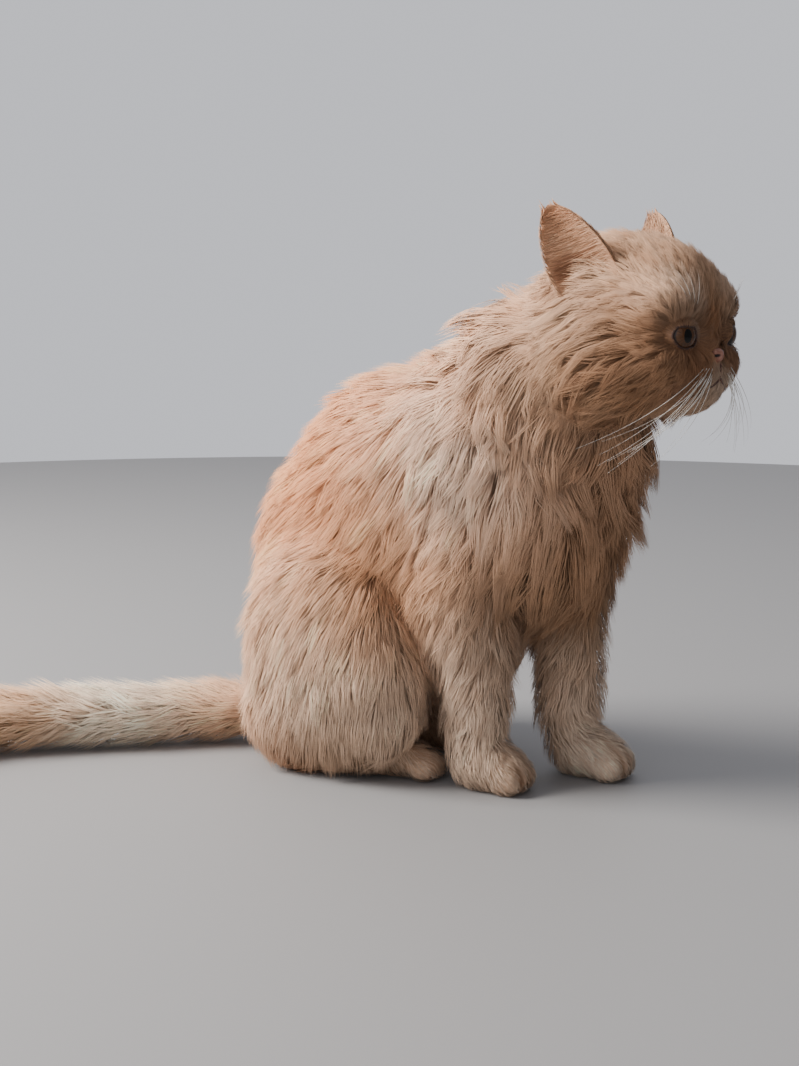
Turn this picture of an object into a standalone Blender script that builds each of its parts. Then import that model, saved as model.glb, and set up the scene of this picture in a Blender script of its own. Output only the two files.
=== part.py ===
"""A sitting persian cat, life size, as a still model in named pieces.

X runs forwards from tail to nose, Y to the cat's left and Z up, with the floor at Z 0.
All sizes below are in centimetres. The body is a set of rounded masses, each with the depth of
the coat that covers it. A share of 0 of that depth is the skin and a share of 1 is the outline.
"""

import math

import bmesh
import bpy
import numpy as np
from mathutils import Matrix, Vector

CM = 0.01
GAP = 0.05
ORIGIN = (4.4, 6.5)
CORE_SHARE = 0.35
LOCKS_SHOWN = True

RIGHT, LEFT = -1, 1
SIDE_NAMES = {RIGHT: "right", LEFT: "left"}

# The head is turned a little to the cat's right, about an upright axis through the neck.
HEAD_TURN = -8.0
HEAD_PIVOT = (14.0, 0.0, 0.0)

# The right fore leg stands a little behind the left one.
FORE_X = {RIGHT: 7.5, LEFT: 11.6}
FORE_Y = {RIGHT: -3.1, LEFT: 3.0}
PAW_AHEAD = {RIGHT: 0.4, LEFT: 1.0}
HIND_Y = 3.6

EYE_RADIUS = 1.12
EYE_CENTRE = (21.65, 2.65, 30.35)
EYE_FACING = 28.0
EYE_OPENING = (1.0, 0.86)
LID_RADIUS = 0.17

# The right ear is laid back a little more than the left one.
EAR_BASE = (16.2, 4.7, 34.3)
EAR_TIP = {RIGHT: (14.1, 5.5, 38.2), LEFT: (15.2, 5.7, 38.1)}
EAR_ACROSS = (0.85, -0.22, 0.47)
EAR_HALF_WIDTH = 2.1
EAR_DEPTH = 1.1
EAR_LIP = 0.16

# The line of the mouth on one side, and the lip below it, as widths from the middle and heights.
MOUTH_LINE = ((0.0, 28.5), (0.0, 27.75), (0.5, 27.3), (1.2, 27.15), (1.9, 27.35))
MOUTH_CUT = 0.09
LIP_RADIUS = 0.13
LIP_DROP = 0.2
NOSTRIL = (0.27, 29.05)
NOSTRIL_HALF = (0.28, 0.13, 0.1)

TAIL_PATH = (
    (-8.5, -0.2, 3.0),
    (-11.0, -1.2, 2.5),
    (-14.7, -3.4, 2.35),
    (-20.0, -8.0, 2.35),
    (-25.6, -12.8, 2.35),
    (-28.8, -17.0, 2.2),
    (-29.8, -20.2, 2.1),
)
TAIL_RADIUS = 0.95
TAIL_COAT = 1.4
# Where the tail is parted in lengths, as shares of its path.
TAIL_PARTS = {"tail_root": (0.0, 0.36), "tail_middle": (0.36, 0.7), "tail_tip": (0.7, 1.0)}


class Mass:
    """A rounded mass: an ellipsoid turned by its pitch, with the coat's depth over it."""

    def __init__(self, centre, half, pitch=0.0, coat=1.0, yaw=0.0):
        self.centre = np.array(centre, float)
        self.half = np.array(half, float)
        self.coat = coat
        p, y = math.radians(pitch), math.radians(yaw)
        up_turn = np.array([[math.cos(p), 0, math.sin(p)], [0, 1, 0], [-math.sin(p), 0, math.cos(p)]])
        side_turn = np.array([[math.cos(y), math.sin(y), 0], [-math.sin(y), math.cos(y), 0], [0, 0, 1]])
        self.turn = up_turn @ side_turn

    def distance(self, points):
        q = (points - self.centre) @ self.turn.T
        near = np.linalg.norm(q / self.half, axis=-1)
        steep = np.linalg.norm(q / self.half**2, axis=-1)
        return near * (near - 1) / np.maximum(steep, 1e-9)


class Cord:
    """A round form of even radius along a path, such as the tail."""

    def __init__(self, path, radius, coat):
        self.path = np.array(path, float)
        self.radius = radius
        self.coat = coat

    def distance(self, points):
        best = np.full(points.shape[:-1], 1e9)
        for a, b in zip(self.path[:-1], self.path[1:]):
            along = np.clip((points - a) @ (b - a) / ((b - a) @ (b - a)), 0, 1)
            nearest = a + along[..., None] * (b - a)
            best = np.minimum(best, np.linalg.norm(points - nearest, axis=-1))
        return best - self.radius


def both(centre, half, pitch=0.0, coat=1.0, yaw=0.0):
    """The same mass on each side of the head or body."""
    x, y, z = centre
    return [Mass((x, s * y, z), half, pitch, coat, s * yaw) for s in (RIGHT, LEFT)]


def turned(masses, degrees, pivot):
    """The masses turned together about the upright line through the pivot."""
    r = math.radians(degrees)
    spin = np.array([[math.cos(r), -math.sin(r), 0], [math.sin(r), math.cos(r), 0], [0, 0, 1]])
    for m in masses:
        m.centre = (m.centre - pivot) @ spin.T + pivot
        m.turn = m.turn @ spin.T
    return masses


def trunk_masses():
    return [
        Mass((-5.4, 0, 7.0), (5.7, 5.0, 7.0), 0, 1.8),
        Mass((-4.1, 0, 13.6), (6.1, 5.2, 7.3), 20, 1.8),
        Mass((0.7, 0, 18.8), (8.5, 5.4, 7.7), 48, 1.8),
        Mass((7.0, 0, 21.8), (5.8, 5.8, 6.2), 40, 2.0),
        Mass((10.6, 0, 18.2), (4.2, 4.6, 5.4), 0, 2.6),
        Mass((3.8, 0, 11.6), (5.0, 4.2, 4.6), 0, 1.8),
    ]


def neck_masses():
    return [
        Mass((10.9, 0, 26.6), (4.7, 4.4, 4.9), 50, 2.6),
        Mass((13.2, 0, 23.0), (2.5, 3.4, 3.6), 0, 2.4),
    ]


def head_masses():
    masses = [
        Mass((16.2, 0, 31.4), (4.6, 4.5, 4.4), 0, 1.1),
        Mass((19.3, 0, 32.6), (2.6, 3.4, 2.7), 0, 0.6),
        *both((17.2, 3.0, 28.9), (3.2, 2.5, 2.8), 0, 1.5),
        Mass((20.3, 0, 28.6), (1.9, 2.6, 2.0), 0, 0.35),
        *both((21.35, 1.0, 27.9), (1.2, 1.15, 0.95), 0, 0.2),
        Mass((20.9, 0, 26.8), (1.3, 1.3, 0.9), 0, 0.25),
        *both((20.7, 2.6, 32.2), (1.6, 1.8, 1.2), 0, 0.35),
        *both((20.9, 3.0, 28.7), (1.45, 1.6, 1.2), 0, 0.35),
        Mass((22.3, 0, 29.15), (0.75, 0.62, 0.5), 0, 0.05),
    ]
    return turned(masses, HEAD_TURN, HEAD_PIVOT)


def thigh_masses(side):
    return [
        Mass((-2.8, side * 5.1, 8.3), (5.4, 2.9, 7.0), 14, 1.5),
        Mass((0.9, side * 5.4, 6.2), (2.6, 2.2, 3.8), 0, 1.1),
        Mass((-5.4, side * 4.6, 3.6), (3.4, 2.8, 2.9), 0, 1.3),
    ]


def hind_paw_masses(side):
    y = side * HIND_Y
    toes = [Mass((4.0, y + j * 0.62, 0.85), (0.85, 0.42, 0.65), 0, 0.2) for j in (-1.5, -0.5, 0.5, 1.5)]
    return [Mass((0.4, y, 1.3), (4.0, 1.4, 1.25), 0, 0.4), *toes]


def foreleg_masses(side):
    x, y = FORE_X[side], FORE_Y[side]
    return [
        Mass((x - 0.9, y * 1.15, 14.2), (2.6, 2.1, 5.4), 0, 1.1),
        Mass((x, y, 7.4), (1.75, 1.55, 6.4), 0, 0.85),
    ]


def fore_paw_masses(side):
    x, y = FORE_X[side] + PAW_AHEAD[side], FORE_Y[side]
    toes = [
        Mass((x + 2.65 - 0.22 * abs(j), y + j * 0.85, 0.9), (0.95, 0.52, 0.8), 0, 0.2)
        for j in (-1.5, -0.5, 0.5, 1.5)
    ]
    return [Mass((x + 0.7, y, 1.5), (2.4, 1.75, 1.5), 0, 0.35), *toes]


def tail_masses():
    return [Cord(smooth_path(TAIL_PATH, 24), TAIL_RADIUS, TAIL_COAT)]


def smooth_path(points, count):
    """A smooth curve through the points, by the rule of Catmull and Rom, as count points."""
    p = np.array(points, float)
    p = np.vstack([2 * p[0] - p[1], p, 2 * p[-1] - p[-2]])
    out = []
    for t in np.linspace(0, len(points) - 1, count):
        i = min(int(t), len(points) - 2)
        u = t - i
        a, b, c, d = p[i : i + 4]
        out.append(
            0.5 * (2 * b + (c - a) * u + (2 * a - 5 * b + 4 * c - d) * u**2 + (3 * b - a - 3 * c + d) * u**3)
        )
    return np.array(out)


def field(masses, points, share, blend=0.7):
    """Below 0 inside the form that the masses make together, at that share of the coat's depth."""
    near = np.stack([m.distance(points) - share * m.coat for m in masses])
    least = near.min(axis=0)
    return least - blend * np.log(np.exp(-(near - least) / blend).sum(axis=0))


def capsule_rays(path, rings, caps, around):
    """Where rays start and point that wrap a path: rings along it, and cap rings out to a pole at each end.

    An end with no cap rings is flat.
    """
    path = np.array(path, float)
    steps = smooth_path(path, rings) if len(path) > 2 else np.linspace(path[0], path[1], rings)
    starts, ways = [], []
    across = np.array([0.0, 1.0, 0.0])
    angles = 2 * math.pi * np.arange(around) / around

    def tangent(i):
        lo, hi = max(i - 1, 0), min(i + 1, rings - 1)
        v = steps[hi] - steps[lo]
        return v / np.linalg.norm(v)

    def frame(way):
        side = across - (across @ way) * way
        if np.linalg.norm(side) < 0.1:
            side = np.array([1.0, 0.0, 0.0])
        side /= np.linalg.norm(side)
        return side, np.cross(way, side)

    first, last = caps
    leans = [(0, -90 + 90 * k / first) for k in range(first)] or [(0, 0.0)]
    leans += [(i, 0.0) for i in range(rings)]
    leans += [(rings - 1, 90 * (k + 1) / last) for k in range(last)] or [(rings - 1, 0.0)]
    for i, lean in leans:
        way = tangent(i)
        side, up = frame(way)
        ring = np.outer(np.cos(angles), side) + np.outer(np.sin(angles), up)
        lean = math.radians(lean)
        ways.append(math.cos(lean) * ring + math.sin(lean) * way)
        starts.append(np.repeat(steps[i][None], around, axis=0))
    return np.array(starts), np.array(ways)


def reach(masses, starts, ways, share, blend=0.7, furthest=16.0):
    """How far each ray goes until it last leaves the form."""
    tries = np.linspace(0.0, furthest, 49)
    inside = np.stack([field(masses, starts + t * ways, share, blend) < 0 for t in tries])
    last = len(tries) - 1 - np.argmax(inside[::-1], axis=0)
    last = np.where(inside.any(axis=0), last, 0)
    low = tries[last]
    high = tries[np.minimum(last + 1, len(tries) - 1)]
    for _ in range(18):
        middle = (low + high) / 2
        within = field(masses, starts + middle[..., None] * ways, share, blend) < 0
        low = np.where(within, middle, low)
        high = np.where(within, high, middle)
    return low


def grid_mesh(name, points):
    """A closed mesh of rings of points, whose first and last rings are drawn in to poles."""
    around = points.shape[1]
    mesh = bmesh.new()
    poles = [mesh.verts.new(points[i].mean(axis=0) * CM) for i in (0, -1)]
    rows = [[mesh.verts.new(p * CM) for p in ring] for ring in points[1:-1]]
    for j in range(around):
        k = (j + 1) % around
        mesh.faces.new((poles[0], rows[0][k], rows[0][j]))
        mesh.faces.new((poles[1], rows[-1][j], rows[-1][k]))
        for low, high in zip(rows[:-1], rows[1:]):
            mesh.faces.new((low[j], low[k], high[k]))
            mesh.faces.new((low[j], high[k], high[j]))
    bmesh.ops.recalc_face_normals(mesh, faces=mesh.faces)
    return object_of(name, mesh)


def core(name, masses, path, rings, caps, around, share, grow=0.0, blend=0.7):
    """A node's plain form, solved ray by ray on its own masses, and grown by a gap where it is a cutter."""
    starts, ways = capsule_rays(path, rings, caps, around)
    far = reach(masses, starts, ways, share, blend)
    return swollen(grid_mesh(name, starts + far[..., None] * ways), grow)


def swollen(item, grow):
    """The closed mesh with every point moved out along its normal."""
    if grow:
        moved = [v.co + v.normal * grow * CM for v in item.data.vertices]
        item.data.vertices.foreach_set("co", np.array(moved).ravel())
        item.data.update()
    return item


def collection(name, hidden=False):
    made = bpy.data.collections.new(name)
    bpy.context.scene.collection.children.link(made)
    made.hide_render = hidden
    return made


def object_of(name, mesh):
    data = bpy.data.meshes.new(name)
    mesh.to_mesh(data)
    mesh.free()
    return bpy.data.objects.new(name, data)


def head_point(x, y, z):
    """A point given for the head looking straight ahead, where the turned head has it."""
    r = math.radians(HEAD_TURN)
    dx, dy = x - HEAD_PIVOT[0], y - HEAD_PIVOT[1]
    turned_x = dx * math.cos(r) - dy * math.sin(r)
    turned_y = dx * math.sin(r) + dy * math.cos(r)
    return np.array([HEAD_PIVOT[0] + turned_x, HEAD_PIVOT[1] + turned_y, z])


def head_way(x, y, z):
    return head_point(HEAD_PIVOT[0] + x, y, z)  - np.array(HEAD_PIVOT)


def tube(name, path, radius, sides=6, closed=False):
    """A round tube along a path, closed in itself or ending in caps."""
    path = np.array(path, float)
    count = len(path)
    mesh = bmesh.new()
    rows = []
    for i in range(count):
        before = path[(i - 1) % count] if closed else path[max(i - 1, 0)]
        after = path[(i + 1) % count] if closed else path[min(i + 1, count - 1)]
        way = after - before
        way /= np.linalg.norm(way)
        side = np.cross(way, (0.31, 0.17, 0.93) if abs(way[2]) < 0.9 else (1.0, 0.1, 0.0))
        if closed:
            side = np.cross(way, path.mean(axis=0) - path[i])
        side /= np.linalg.norm(side)
        up = np.cross(way, side)
        ring = []
        for k in range(sides):
            a = 2 * math.pi * k / sides
            ring.append(mesh.verts.new((path[i] + radius * (math.cos(a) * side + math.sin(a) * up)) * CM))
        rows.append(ring)
    for i in range(count if closed else count - 1):
        low, high = rows[i], rows[(i + 1) % count]
        for k in range(sides):
            m = (k + 1) % sides
            mesh.faces.new((low[k], low[m], high[m], high[k]))
    if not closed:
        mesh.faces.new(rows[0])
        mesh.faces.new(rows[-1])
    bmesh.ops.recalc_face_normals(mesh, faces=mesh.faces)
    return object_of(name, mesh)


def ball(name, centre, half, way=(1.0, 0.0, 0.0), segments=12, rings=8):
    """An ellipsoid whose first half size lies along the way given."""
    mesh = bmesh.new()
    bmesh.ops.create_uvsphere(mesh, u_segments=segments, v_segments=rings, radius=CM)
    turn = Vector((1, 0, 0)).rotation_difference(Vector(way))
    for v in mesh.verts:
        v.co = turn @ Vector([c * h for c, h in zip(v.co, half)]) + Vector(centre) * CM
    return object_of(name, mesh)


def eye_axes(side):
    """The eye's centre and the ways forwards, across and up of its opening."""
    centre = head_point(EYE_CENTRE[0], side * EYE_CENTRE[1], EYE_CENTRE[2])
    a = math.radians(EYE_FACING)
    forwards = head_way(math.cos(a), side * math.sin(a), 0.0)
    across = head_way(-math.sin(a), side * math.cos(a), 0.0)
    return centre, forwards, across, np.array([0.0, 0.0, 1.0])


def eye(side, grow=0.0):
    centre = eye_axes(side)[0]
    r = EYE_RADIUS + grow
    return ball(f"eye_{SIDE_NAMES[side]}", centre, (r, r, r))


def lid_ring(side):
    """The rims of both lids: a closed tube round the almond of the opening, laid on the eye."""
    centre, forwards, across, up = eye_axes(side)
    path = []
    for k in range(14):
        a = 2 * math.pi * k / 14
        x = EYE_OPENING[0] * math.cos(a) / EYE_RADIUS
        z = EYE_OPENING[1] * math.sin(a) / EYE_RADIUS
        path.append(centre + (EYE_RADIUS + 0.06) * (math.sqrt(1 - x * x - z * z) * forwards + x * across + z * up))
    return tube("lids", path, LID_RADIUS, closed=True)


def socket(side):
    """What is cut from the head in front of the eye."""
    centre, forwards, _, _ = eye_axes(side)
    half = (1.5, EYE_OPENING[0], EYE_OPENING[1])
    return ball("socket", centre + 1.2 * forwards, half, forwards)


def face_points(line, lift=0.0, drop=0.0):
    """Points on the head's plain form where the line of widths and heights meets it, seen from in front."""
    masses = head_masses()
    starts = np.array([head_point(19.0, y, z - drop) for y, z in line])
    ways = np.repeat(head_way(1.0, 0.0, 0.0)[None], len(line), axis=0)
    far = reach(masses, starts, ways, CORE_SHARE, HEAD_BLEND) + lift
    return starts + far[:, None] * ways


def mouth_cutters():
    """The groove from the nose down to the mouth and along it, and the nostrils."""
    middle = face_points(MOUTH_LINE[:2])
    line = [(-y, z) for y, z in MOUTH_LINE[:1:-1]] + list(MOUTH_LINE[1:])
    cutters = [tube("groove", middle, MOUTH_CUT), tube("mouth", face_points(line), MOUTH_CUT)]
    for side in (RIGHT, LEFT):
        centre = face_points([(side * NOSTRIL[0], NOSTRIL[1])])[0]
        cutters.append(ball("nostril", centre, NOSTRIL_HALF, head_way(1.0, side * 0.4, 0.0), 10, 6))
    return cutters


def lip():
    line = [(-y, z) for y, z in MOUTH_LINE[:1:-1]] + list(MOUTH_LINE[2:])
    return tube("lip", face_points(line, -0.05, LIP_DROP), LIP_RADIUS)


def ear(side, grow=0.0):
    """A cup: each row from the base to the tip goes round the back of the ear and then over its hollow."""
    base = head_point(EAR_BASE[0], side * EAR_BASE[1], EAR_BASE[2])
    tx, ty, tz = EAR_TIP[side]
    rise = head_point(tx, side * ty, tz) - base
    across = head_way(EAR_ACROSS[0], side * EAR_ACROSS[1], EAR_ACROSS[2])
    across /= np.linalg.norm(across)
    front = np.cross(rise, across) * side
    front /= np.linalg.norm(front)
    rows = []
    for v in (-0.6, -0.3, 0.0, 0.25, 0.5, 0.7, 0.86, 0.96, 1.0):
        taper = (1 - max(v, 0.0) ** 1.7) ** 0.62
        half = (EAR_HALF_WIDTH + grow) * taper
        depth = EAR_DEPTH * taper
        row = []
        for k in range(18):
            a = 2 * math.pi * k / 18
            c, n = math.cos(a), math.sin(a)
            if n < 0:
                off = depth * n - grow
            else:
                off = EAR_LIP * math.sqrt(n) - 0.85 * depth * n * n + grow
            row.append(base + v * rise + half * c * across + off * front)
        rows.append(row)
    return grid_mesh(f"ear_{SIDE_NAMES[side]}", np.array(rows))


# The lie of the coat: the way it runs near each of these points of the left side and the middle.
LIE = (
    ((8.0, 0.0, 31.0), (-0.75, 0.0, -0.65)),
    ((1.0, 0.0, 28.0), (-0.85, 0.0, -0.5)),
    ((-6.0, 0.0, 23.0), (-0.65, 0.0, -0.75)),
    ((-11.0, 0.0, 15.0), (-0.3, 0.0, -1.0)),
    ((-11.5, 1.5, 5.0), (-0.35, 0.2, -1.0)),
    ((6.0, 6.0, 22.0), (-0.35, 0.1, -0.9)),
    ((-1.0, 6.5, 15.0), (-0.45, 0.1, -0.9)),
    ((16.0, 0.5, 18.0), (-0.15, 0.1, -1.0)),
    ((12.0, 2.0, 13.0), (-0.45, 0.0, -0.9)),
    ((17.5, 0.5, 23.0), (0.15, 0.15, -1.0)),
    ((12.5, 6.0, 25.0), (0.25, 0.25, -0.95)),
    ((19.0, 4.2, 28.5), (-0.7, 0.45, -0.55)),
    ((16.0, 5.5, 30.5), (-0.8, 0.3, -0.45)),
    ((16.0, 4.5, 26.5), (-0.35, 0.4, -0.85)),
    ((14.0, 0.0, 36.0), (-0.95, 0.0, -0.1)),
    ((20.5, 0.0, 34.0), (-0.5, 0.0, 0.85)),
    ((-4.0, 8.0, 13.0), (-0.3, 0.1, -0.95)),
    ((-3.0, 8.0, 7.0), (-0.3, 0.1, -0.95)),
    ((-2.0, 7.0, 2.0), (-0.1, 0.45, -0.85)),
    ((8.0, 4.0, 8.0), (-0.2, 0.0, -1.0)),
)
LIE_SPREAD = 3.2


def lie_at(points):
    """The way the coat runs at each point: the ways above, weighed by how near their places are."""
    total = np.zeros_like(points)
    for place, way in LIE:
        for side in (RIGHT, LEFT):
            at = np.array(place) * (1, side, 1)
            w = np.exp(-((points - at) ** 2).sum(axis=-1) / (2 * LIE_SPREAD**2))
            total += w[..., None] * np.array(way) * (1, side, 1)
    return total + np.array([-1e-6, 0.0, -1e-6])


def tail_lie_at(points):
    path = smooth_path(TAIL_PATH, 40)
    near = np.linalg.norm(points[:, None] - path[None], axis=-1).argmin(axis=1)
    near = np.clip(near, 0, len(path) - 2)
    return path[near + 1] - path[near]


def normal_at(masses, points, share):
    step = 0.05
    out = np.zeros_like(points)
    for axis in range(3):
        shift = np.zeros(3)
        shift[axis] = step
        out[:, axis] = field(masses, points + shift, share) - field(masses, points - shift, share)
    return out / np.linalg.norm(out, axis=-1, keepdims=True)


def settle(masses, points, share):
    """The points moved onto the form at that share of the coat."""
    for _ in range(3):
        points = points - normal_at(masses, points, share) * field(masses, points, share)[:, None]
    return points


# Lock shares along its length: how far along, its width, and its height as a share of the coat.
LOCK_RINGS = ((0.0, 0.75, 0.0), (0.2, 1.0, 0.7), (0.5, 0.95, 0.94), (0.77, 0.62, 1.04))
LOCK_TIP_SHARE = 1.08
# Locks that come near the floor are eased up to run along it.
FLOOR_LIFT = 0.1
FLOOR_EASE = 0.3


class Coat:
    """The locks of one node: how far apart they root, and the size of each."""

    def __init__(self, spacing, length, width, thick, seed, where=None):
        self.spacing, self.length, self.width, self.thick = spacing, length, width, thick
        self.seed, self.where = seed, where


def roots(node, others):
    """Places on the node's plain form that no other node covers, each a spacing from the next."""
    coat = node.coat
    chance = np.random.default_rng(coat.seed)
    caps = [8 if c else 0 for c in node.caps]
    starts, ways = capsule_rays(node.path, 14, caps, 48)
    starts, ways = starts.reshape(-1, 3), ways.reshape(-1, 3)
    order = chance.permutation(len(starts))
    starts, ways = starts[order], ways[order] + chance.normal(0, 0.05, starts.shape)
    far = reach(node.masses, starts, ways, CORE_SHARE)
    places = starts + far[:, None] * ways
    fair = (far > 0.3) & (places[:, 2] > 1.0)
    for other in others:
        fair &= field(other.masses, places, CORE_SHARE) > 0.1
    if coat.where is not None:
        fair &= coat.where(places)
    kept = []
    for p in places[fair]:
        if all(np.linalg.norm(p - q) > coat.spacing for q in kept):
            kept.append(p)
    return np.array(kept)


def locks(all_masses, places, coat, lie, grow=0.0):
    """One flat, bending, tapered lock from each root, following the lie and rising through the coat."""
    chance = np.random.default_rng(coat.seed + 1)
    count = len(places)
    length = coat.length * chance.uniform(0.8, 1.2, count)
    width = coat.width * chance.uniform(0.8, 1.2, count)
    thick = coat.thick * chance.uniform(0.85, 1.15, count)
    lean = chance.normal(0, 0.16, count)
    bend = chance.normal(0, 0.5, count)
    lift = chance.uniform(0.93, 1.03, count)
    p = settle(all_masses, places, LOCK_RINGS[0][2])
    rings = []
    t_before = 0.0
    ends = [*LOCK_RINGS, (1.0, 0.0, LOCK_TIP_SHARE)]
    for t, wide, share in ends:
        n = normal_at(all_masses, p, share)
        way = lie(p)
        way -= (way * n).sum(axis=-1, keepdims=True) * n
        way /= np.maximum(np.linalg.norm(way, axis=-1, keepdims=True), 1e-6)
        side = np.cross(n, way)
        turn = lean + bend * (t - 0.4)
        way = way * np.cos(turn)[:, None] + side * np.sin(turn)[:, None]
        p = p + way * (length * (t - t_before))[:, None]
        p = settle(all_masses, p, share * lift)
        p[:, 2] = FLOOR_LIFT + (p[:, 2] + np.hypot(p[:, 2], FLOOR_EASE)) / 2
        n = normal_at(all_masses, p, share)
        side = np.cross(n, way)
        side /= np.linalg.norm(side, axis=-1, keepdims=True)
        rings.append((p, side, n, width * wide / 2, thick * (0.45 + 0.55 * wide)))
        t_before = t
    made = []
    for i in range(count):
        mesh = bmesh.new()
        rows = []
        for p, side, n, half, deep in rings[:-1]:
            low = p[i] - (0.35 * deep[i] + 1.5 * grow) * n[i]
            out = (half[i] + 3 * grow) * side[i]
            top = p[i] + (0.65 * deep[i] + 2 * grow) * n[i]
            rows.append([mesh.verts.new(q * CM) for q in (low - out, low + out, top)])
        end = rings[-1][0][i]
        ahead = end - rings[-2][0][i]
        tip = mesh.verts.new((end + 5 * grow * ahead / np.linalg.norm(ahead)) * CM)
        mesh.faces.new(rows[0][::-1])
        for low, high in zip(rows[:-1], rows[1:]):
            for k in range(3):
                m = (k + 1) % 3
                mesh.faces.new((low[k], low[m], high[k]))
                mesh.faces.new((low[m], high[m], high[k]))
        for k in range(3):
            mesh.faces.new((rows[-1][k], rows[-1][(k + 1) % 3], tip))
        bmesh.ops.recalc_face_normals(mesh, faces=mesh.faces)
        made.append(object_of("lock", mesh))
    return made


TOUCH = 2e-6
DRAWN_IN = 2e-5


def boolean(target, operands, operation):
    """Applies one Boolean of a set of closed meshes to the target, and removes them."""
    group = collection("operands", hidden=True)
    for piece in operands:
        group.objects.link(piece)
    modifier = target.modifiers.new(operation.lower(), "BOOLEAN")
    modifier.operation = operation
    modifier.operand_type = "COLLECTION"
    modifier.collection = group
    modifier.solver = "MANIFOLD"
    bpy.context.view_layer.update()
    graph = bpy.context.evaluated_depsgraph_get()
    made = bpy.data.meshes.new_from_object(target.evaluated_get(graph))
    target.modifiers.clear()
    old, target.data = target.data, made
    bpy.data.meshes.remove(old)
    for piece in operands:
        bpy.data.objects.remove(piece)
    bpy.data.collections.remove(group)


def keep_largest(target):
    """Drops every closed surface of the mesh but the one of most faces, and says what was dropped."""
    mesh = bmesh.new()
    mesh.from_mesh(target.data)
    left, groups = set(mesh.faces), []
    while left:
        stack, found = [next(iter(left))], set()
        while stack:
            face = stack.pop()
            if face not in found:
                found.add(face)
                stack.extend(f for e in face.edges if len(e.link_faces) == 2 for f in e.link_faces)
        left -= found
        groups.append(found)
    groups.sort(key=len)
    scraps = [f for g in groups[:-1] for f in g]
    if scraps:
        print(target.name, "dropped scraps of", [len(g) for g in groups[:-1]], "faces")
        bmesh.ops.delete(mesh, geom=scraps, context="FACES")
    mesh.to_mesh(target.data)
    mesh.free()


def part_touching(target):
    """Draws corners that lie on one another, where two folds of the coat touch, a hair's breadth in."""
    places = {}
    for v in target.data.vertices:
        places.setdefault(tuple(round(c / TOUCH) for c in v.co), []).append(v)
    for touching in places.values():
        if len(touching) > 1:
            for v in touching:
                v.co -= v.normal * DRAWN_IN


def material(name, colour, roughness):
    made = bpy.data.materials.new(name)
    made.use_nodes = True
    shader = made.node_tree.nodes["Principled BSDF"]
    shader.inputs["Base Color"].default_value = (*colour, 1.0)
    shader.inputs["Roughness"].default_value = roughness
    shader.inputs["Metallic"].default_value = 0.0
    return made


def floor_block():
    mesh = bmesh.new()
    bmesh.ops.create_cube(mesh, size=2.0)
    bmesh.ops.translate(mesh, verts=mesh.verts, vec=(0, 0, -1))
    return object_of("floor_block", mesh)


def clear_scene():
    for item in list(bpy.data.objects):
        bpy.data.objects.remove(item, do_unlink=True)


HEAD_BLEND = 0.6
PAW_BLEND = 0.22
BODY_BLEND = 0.7


class Node:
    """One named part: its masses, the path its rays start on, its grid, and its coat of locks."""

    def __init__(self, masses, path, rings, caps, around, blend=BODY_BLEND, coat=None):
        self.masses, self.path, self.blend, self.coat = masses, path, blend, coat
        self.rings, self.caps, self.around = rings, caps, around
        self.places = None

    def plain(self, name, grow=0.0):
        return core(
            name, self.masses, self.path, self.rings, self.caps, self.around, CORE_SHARE, grow, self.blend
        )


def cheek(p):
    """Where the head's coat is long: behind and below the face."""
    turned_y = np.abs(p[:, 1] + 0.14 * (p[:, 0] - HEAD_PIVOT[0]))
    return (p[:, 0] < 19.5 + 0.2 * turned_y) & (p[:, 2] < 33.5) & (p[:, 0] > 12.5) & (turned_y > 1.5)


def outer_leg(side):
    """Where the fore leg's coat shows: above the paw, on the outer side and in front."""
    return lambda p: (p[:, 2] > 5.0) & (side * p[:, 1] > 2.6)


def outer_thigh(side):
    return lambda p: side * p[:, 1] > 4.6


def off_belly(p):
    """The trunk but for the belly and between the legs, where the coat is hidden."""
    return (p[:, 2] > 11.5) | (p[:, 0] < -4.0)


def tail_piece(start, end, coat):
    """A length of the tail, flat where it meets the next and a gap away from the one before."""
    path = smooth_path(TAIL_PATH, 41)[round(40 * start) : round(40 * end) + 1].copy()
    if start > 0:
        ahead = path[1] - path[0]
        path[0] += GAP * ahead / np.linalg.norm(ahead)
    caps = (3 if start == 0 else 0, 3 if end == 1 else 0)
    return Node(tail_masses(), path, 3 + round(14 * (end - start)), caps, 12, coat=coat)


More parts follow.
